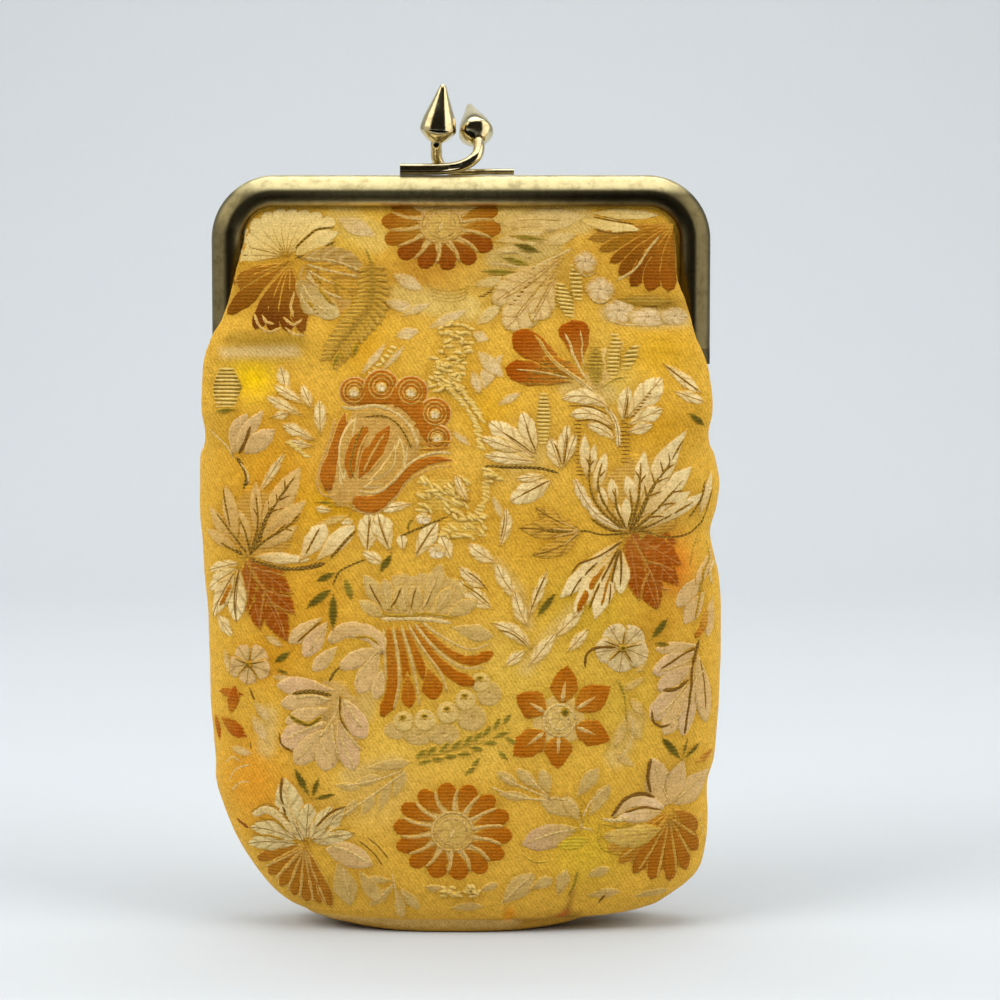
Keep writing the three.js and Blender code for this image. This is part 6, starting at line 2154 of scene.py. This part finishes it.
def foot_sprays(weave):
    weave.scatter(
        DULL,
        (9.6, 22.0, 5.4, 24.8, 2.0), (12.6, 21.6, 8.6, 25.2, 2.4), (14.0, 20.8, 12.6, 25.2, 2.6),
        (11.6, 20.4, 5.6, 21.2, 1.9), (18.0, 20.4, 21.8, 25.4, 2.8), (20.0, 17.4, 23.6, 22.8, 2.6),
        (18.6, 17.4, 12.2, 20.6, 3.4), (18.9, 16.6, 16.2, 21.0, 2.6), (-13.2, 18.2, -11.2, 23.2, 2.0),
        (-11.0, 20.2, -8.8, 24.8, 2.0), (-16.0, 17.4, -13.8, 21.2, 2.0), (-18.4, 17.2, -16.6, 20.4, 1.8),
        (-15.4, 25.2, -7.8, 26.2, 2.2), (-17.8, 22.2, -12.6, 24.0, 2.0), (-20.4, 22.6, -16.0, 22.0, 1.8),
        (-10.6, 6.8, -14.6, 3.4, 2.3), (-10.0, 6.2, -9.4, 1.4, 2.0), (-9.8, 6.4, -6.6, 2.8, 2.2),
        (-10.8, 7.4, -15.4, 7.6, 1.8), (6.0, 3.4, 11.6, 8.6, 4.0), (15.2, 4.6, 16.6, 9.4, 2.4),
        (-19.6, 10.6, -17.6, 3.4, 4.8), (-16.4, 9.2, -12.8, 3.8, 3.0), (-2.2, 3.0, 3.6, 3.4, 2.0),
        (10.6, 6.0, 14.6, 7.8, 2.4), (19.6, 8.0, 23.6, 9.4, 2.2), (19.4, 5.0, 25.4, 5.8, 2.2),
        (-6.2, 6.4, -2.2, 5.8, 1.8), (2.6, 5.6, 6.0, 7.0, 1.8), (26.6, 4.8, 33.0, 6.2, 1.8), belly=0.58,
    )
    weave.leaf(DULL._replace(fill="D0A874"), (18.6, 15.8), (9.4, 13.0), 4.8, belly=0.56)
    weave.leaf(dyed(FADED, "D4B434"), (15.0, 12.6), (20.4, 14.0), 2.8)
    weave.lines(
        CORD, 0.45,
        (-20.0, 17.0, -14.0, 21.0, -8.8, 24.8), (-18.6, 22.4, -14.0, 23.2, -9.4, 24.8),
        (4.6, 22.2, 8.4, 20.8, 12.6, 20.2, 15.6, 20.6), (14.0, 20.4, 11.6, 22.8, 10.0, 24.8),
        (14.0, 20.4, 8.8, 22.6, 6.0, 24.2), (22.8, 22.2, 20.4, 19.8, 19.2, 17.2, 18.9, 15.2),
        (14.6, 20.4, 17.2, 20.0, 18.8, 18.0), (18.2, 15.6, 14.2, 14.8, 10.4, 13.4),
        (18.9, 15.8, 21.0, 15.4), (-11.0, 8.6, -10.3, 5.0, -9.6, 1.8),
        (-14.0, 4.0, -12.2, 5.4, -10.8, 7.0), (-9.8, 6.0, -8.4, 4.6, -7.2, 3.4),
        (-37.5, 26.0, -36.3, 27.0, -35.0, 26.2), (-37.0, 23.0, -35.8, 25.0, -33.5, 25.8),
        (-36.5, 21.6, -35.0, 23.0, -33.5, 23.0), (6.6, 4.0, 8.8, 6.2, 11.0, 8.0),
        (-18.8, 9.8, -18.2, 7.0, -17.6, 4.6),
    )
    weave.line(OLIVE, 0.5, (19.3, 20.0), (18.9, 18.2), (19.2, 16.4))
    weave.line(OLIVE, 0.6, (9.7, 11.5), (11.5, 10.3), (14.0, 10.4))
    weave.line(OLIVE, 0.9, (18.4, 9.2), (17.9, 6.8), (17.0, 5.0))
    weave.line(BROWN, 0.5, (22.8, 5.2), (21.6, 3.8))
    weave.line(BROWN, 0.4, (-33.5, 29.4), (-33.3, 28.2))
    weave.clump((0.6, 4.4), (2.8, 6.6), 12, 1.2)
    weave.clump((-4.0, 4.6), (-0.4, 6.4), 12, 1.2)


# The order in which motifs are laid, each over those before it, with a daisy after each list
UPPER_MOTIFS = [
    top_left, grey_leaves, gold_fern, top_right, cream_leaves, striped_fan, gold_trail, middle_left,
    middle_sprays, bud_branch, bud_sprays, slender_leaves, palmette, palmette_heart,
]
LOWER_MOTIFS = [
    maple_left, maple_right, leaf_cluster_left, leaf_cluster_right, ochre_leaves, bell_flower, bell_hem,
    bell_petals, small_flowers, lower_left, lower_right, olive_sprig, lily_left, lily_right, foot_sprays,
    star_flower, dark_leaves,
]


def charted(panel):
    weave = Brocade(panel)
    for motif in UPPER_MOTIFS:
        motif(weave)
    # The top daisy: lower petals in a darker orange with painted shade, upper ones painted lighter as if
    # sunlit
    shaded, sunlit = dyed(ORANGE, "964E08", "9E5E14"), dyed(AMBER, "AC6A14", "B47E24", rim=0)
    daisy(weave, (-3.2, 111.3), 9.6, 7.3, shaded, sunlit, -0.35)
    for motif in LOWER_MOTIFS:
        motif(weave)
    daisy(weave, (-1.4, 15.2), 9.6, 7.8, ORANGE)
    return weave


# The stage


# The floor from its near edge to where it bends up, the bend, the wall's top and half the breadth
FLOOR_NEAR = -900.0
FLOOR_FAR = 500.0
FLOOR_BEND = 300.0
WALL_TOP = 1800.0
FLOOR_HALF = 700

# Cards left and right: how far aside, lowest, highest, and how brightly they glow
SIDE_CARDS = [(-500, 0, 280, 0.6), (-500, 280, 700, 1.8), (500, 0, 280, 1.6), (500, 280, 700, 2.0)]
SIDE_CARD_Y = (-420, 60)
CARD_TINT = (1.0, 0.95, 0.84, 1.0)

# The black card on the floor before the purse
FLOOR_CARD_X = (-420, 420)
FLOOR_CARD_Y = (-60, -700)
FLOOR_CARD_Z = 1


def reflected_card(name, corners, glow):
    """A card that only reflections show, black where it has no glow."""
    material, _, shader = new_material(name)
    shader.inputs["Base Color"].default_value = rgba("0A0A0A")
    shader.inputs["Specular IOR Level"].default_value = 0.0
    shader.inputs["Emission Color"].default_value = CARD_TINT
    shader.inputs["Emission Strength"].default_value = glow
    card = mesh_object(name, np.array(corners, float), [(0, 1, 3, 2)], material)
    card.visible_camera = card.visible_diffuse = card.visible_shadow = False
    return card


def make_stage():
    """A pale floor that curves up into a wall, and cards that only reflections show."""
    material, _, shader = new_material("paper")
    shader.inputs["Base Color"].default_value = rgba("C8CCCE")
    shader.inputs["Roughness"].default_value = 0.9
    profile = [(FLOOR_NEAR, 0.0), (FLOOR_FAR, 0.0)]
    for a in np.linspace(0, math.pi / 2, 13)[1:]:
        profile.append((FLOOR_FAR + FLOOR_BEND * math.sin(a), FLOOR_BEND - FLOOR_BEND * math.cos(a)))
    profile.append((FLOOR_FAR + FLOOR_BEND, WALL_TOP))
    rows = np.array([[(x, y, z) for x in (-FLOOR_HALF, FLOOR_HALF)] for y, z in profile])
    floor = mesh_object("floor", rows.reshape(-1, 3), grid_faces(len(profile), 2)[:, ::-1], material)
    corners = [(x, y, FLOOR_CARD_Z) for y in FLOOR_CARD_Y for x in FLOOR_CARD_X]
    cards = [reflected_card("floor_card", corners, 0.0)]
    for i, (x, low, high, glow) in enumerate(SIDE_CARDS):
        corners = [(x, y, z) for z in (low, high) for y in SIDE_CARD_Y]
        cards.append(reflected_card(f"side_card_{i}", corners, glow))


def area_light(name, place, aim, size, power):
    data = bpy.data.lights.new(name, "AREA")
    data.shape = "RECTANGLE"
    data.size, data.size_y = size
    data.energy = power
    made = bpy.data.objects.new(name, data)
    made.location = place
    made.rotation_euler = (Vector(aim) - Vector(place)).to_track_quat("-Z", "Y").to_euler()
    bpy.context.scene.collection.objects.link(made)
    return made


# The studio: its two colours, and the directions towards the camera and the roof where they change
STUDIO_PALE = (0.62, 0.66, 0.70, 1)
STUDIO_DARK = (0.03, 0.028, 0.024, 1)
STUDIO_STRENGTH = 0.69
STUDIO_FRONT = (-0.54, -0.42)
STUDIO_ROOF = (0.65, 0.85)


def make_world():
    """A pale studio that is dark on the camera's side."""
    world = bpy.data.worlds.new("studio")
    world.use_nodes = True
    tree = world.node_tree
    direction = add(tree, "TexCoord", {}).outputs["Generated"]
    parts = add(tree, "SeparateXYZ", {"Vector": direction}).outputs
    front = remap(tree, parts[1], *STUDIO_FRONT, 1.0, 0.0)
    below_roof = remap(tree, parts[2], *STUDIO_ROOF, 1.0, 0.0)
    shade = times(tree, front, below_roof)
    pale = blend_colours(tree, shade, STUDIO_PALE, STUDIO_DARK)
    feed(tree, tree.nodes["Background"].inputs["Color"], pale)
    tree.nodes["Background"].inputs["Strength"].default_value = STUDIO_STRENGTH
    bpy.context.scene.world = world
    bpy.context.scene.view_settings.view_transform = "Standard"


# Lights: place, aim and size in metres, power, and whether metal reflects them
LIGHTS = {
    "left_softbox": ((-0.60, -0.40, 0.62), (0, 0, 0.06), (0.5, 0.5), 5.1, False),
    "right_softbox": ((0.66, -0.36, 0.55), (0, 0, 0.06), (0.5, 0.5), 4.2, False),
    "top_softbox": ((0.0, -0.2, 0.85), (0, -0.1999, 0), (0.8, 0.74), 2.5, True),
    "wall_softbox": ((0.0, 0.30, 0.95), (0, 0.8, 0.4), (1.0, 0.3), 4.8, True),
}


def make_lights():
    for name, (place, aim, size, power, reflected) in LIGHTS.items():
        area_light(name, place, aim, size, power).visible_glossy = reflected


# Building

make_camera()
make_stage()
make_world()
make_lights()

ground = ground_material()
silk = silk_material()
gilt = gold_material()
# Aged brass for the frame, with a painted dark reflection along its inner side
aged_brass_painted_dark = brass_material("aged_brass_painted_dark", "6A5428", "DACA94", 0.25, painted_darkening=True)
polished_brass = brass_material("polished_brass", "6E5C38", "E0D0A4", 0.04)

front = make_panel(FRONT_FOLDS, False, FRONT_SEED)
back = make_panel(BACK_FOLDS, True, BACK_SEED)
brocade = charted(front)
tints = ground_tints(front, brocade)
for side, panel in (("front", front), ("back", back)):
    cloth = panel_object(side + "_brocade", panel, tints, ground)
    motifs = [
        motif_object(side + "_silk_motifs", panel, tints, brocade.silk, silk),
        motif_object(side + "_gilt_threads", panel, tints, brocade.gold, gilt),
    ]
    for piece in [cloth, *motifs]:
        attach(piece, "root")
    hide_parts(side + "_panel")

metal = [
    (half_frame("front_channel", -1, EAR_OUTER["front"], aged_brass_painted_dark), "front_frame", "frame_brass"),
    (half_frame("back_channel", 1, EAR_OUTER["back"], aged_brass_painted_dark), "back_frame", "frame_brass"),
    (hinge_rivet("left_rivet", -1, aged_brass_painted_dark), "left_hinge_rivet", "frame_brass"),
    (hinge_rivet("right_rivet", 1, aged_brass_painted_dark), "right_hinge_rivet", "frame_brass"),
    (clasp("front_kiss_lock", FRONT_CLASP, polished_brass), "front_clasp", "clasp_brass"),
    (clasp("back_kiss_lock", BACK_CLASP, polished_brass), "back_clasp", "clasp_brass"),
]
for piece, node, slot in metal:
    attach(piece, "root")
    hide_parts(node)
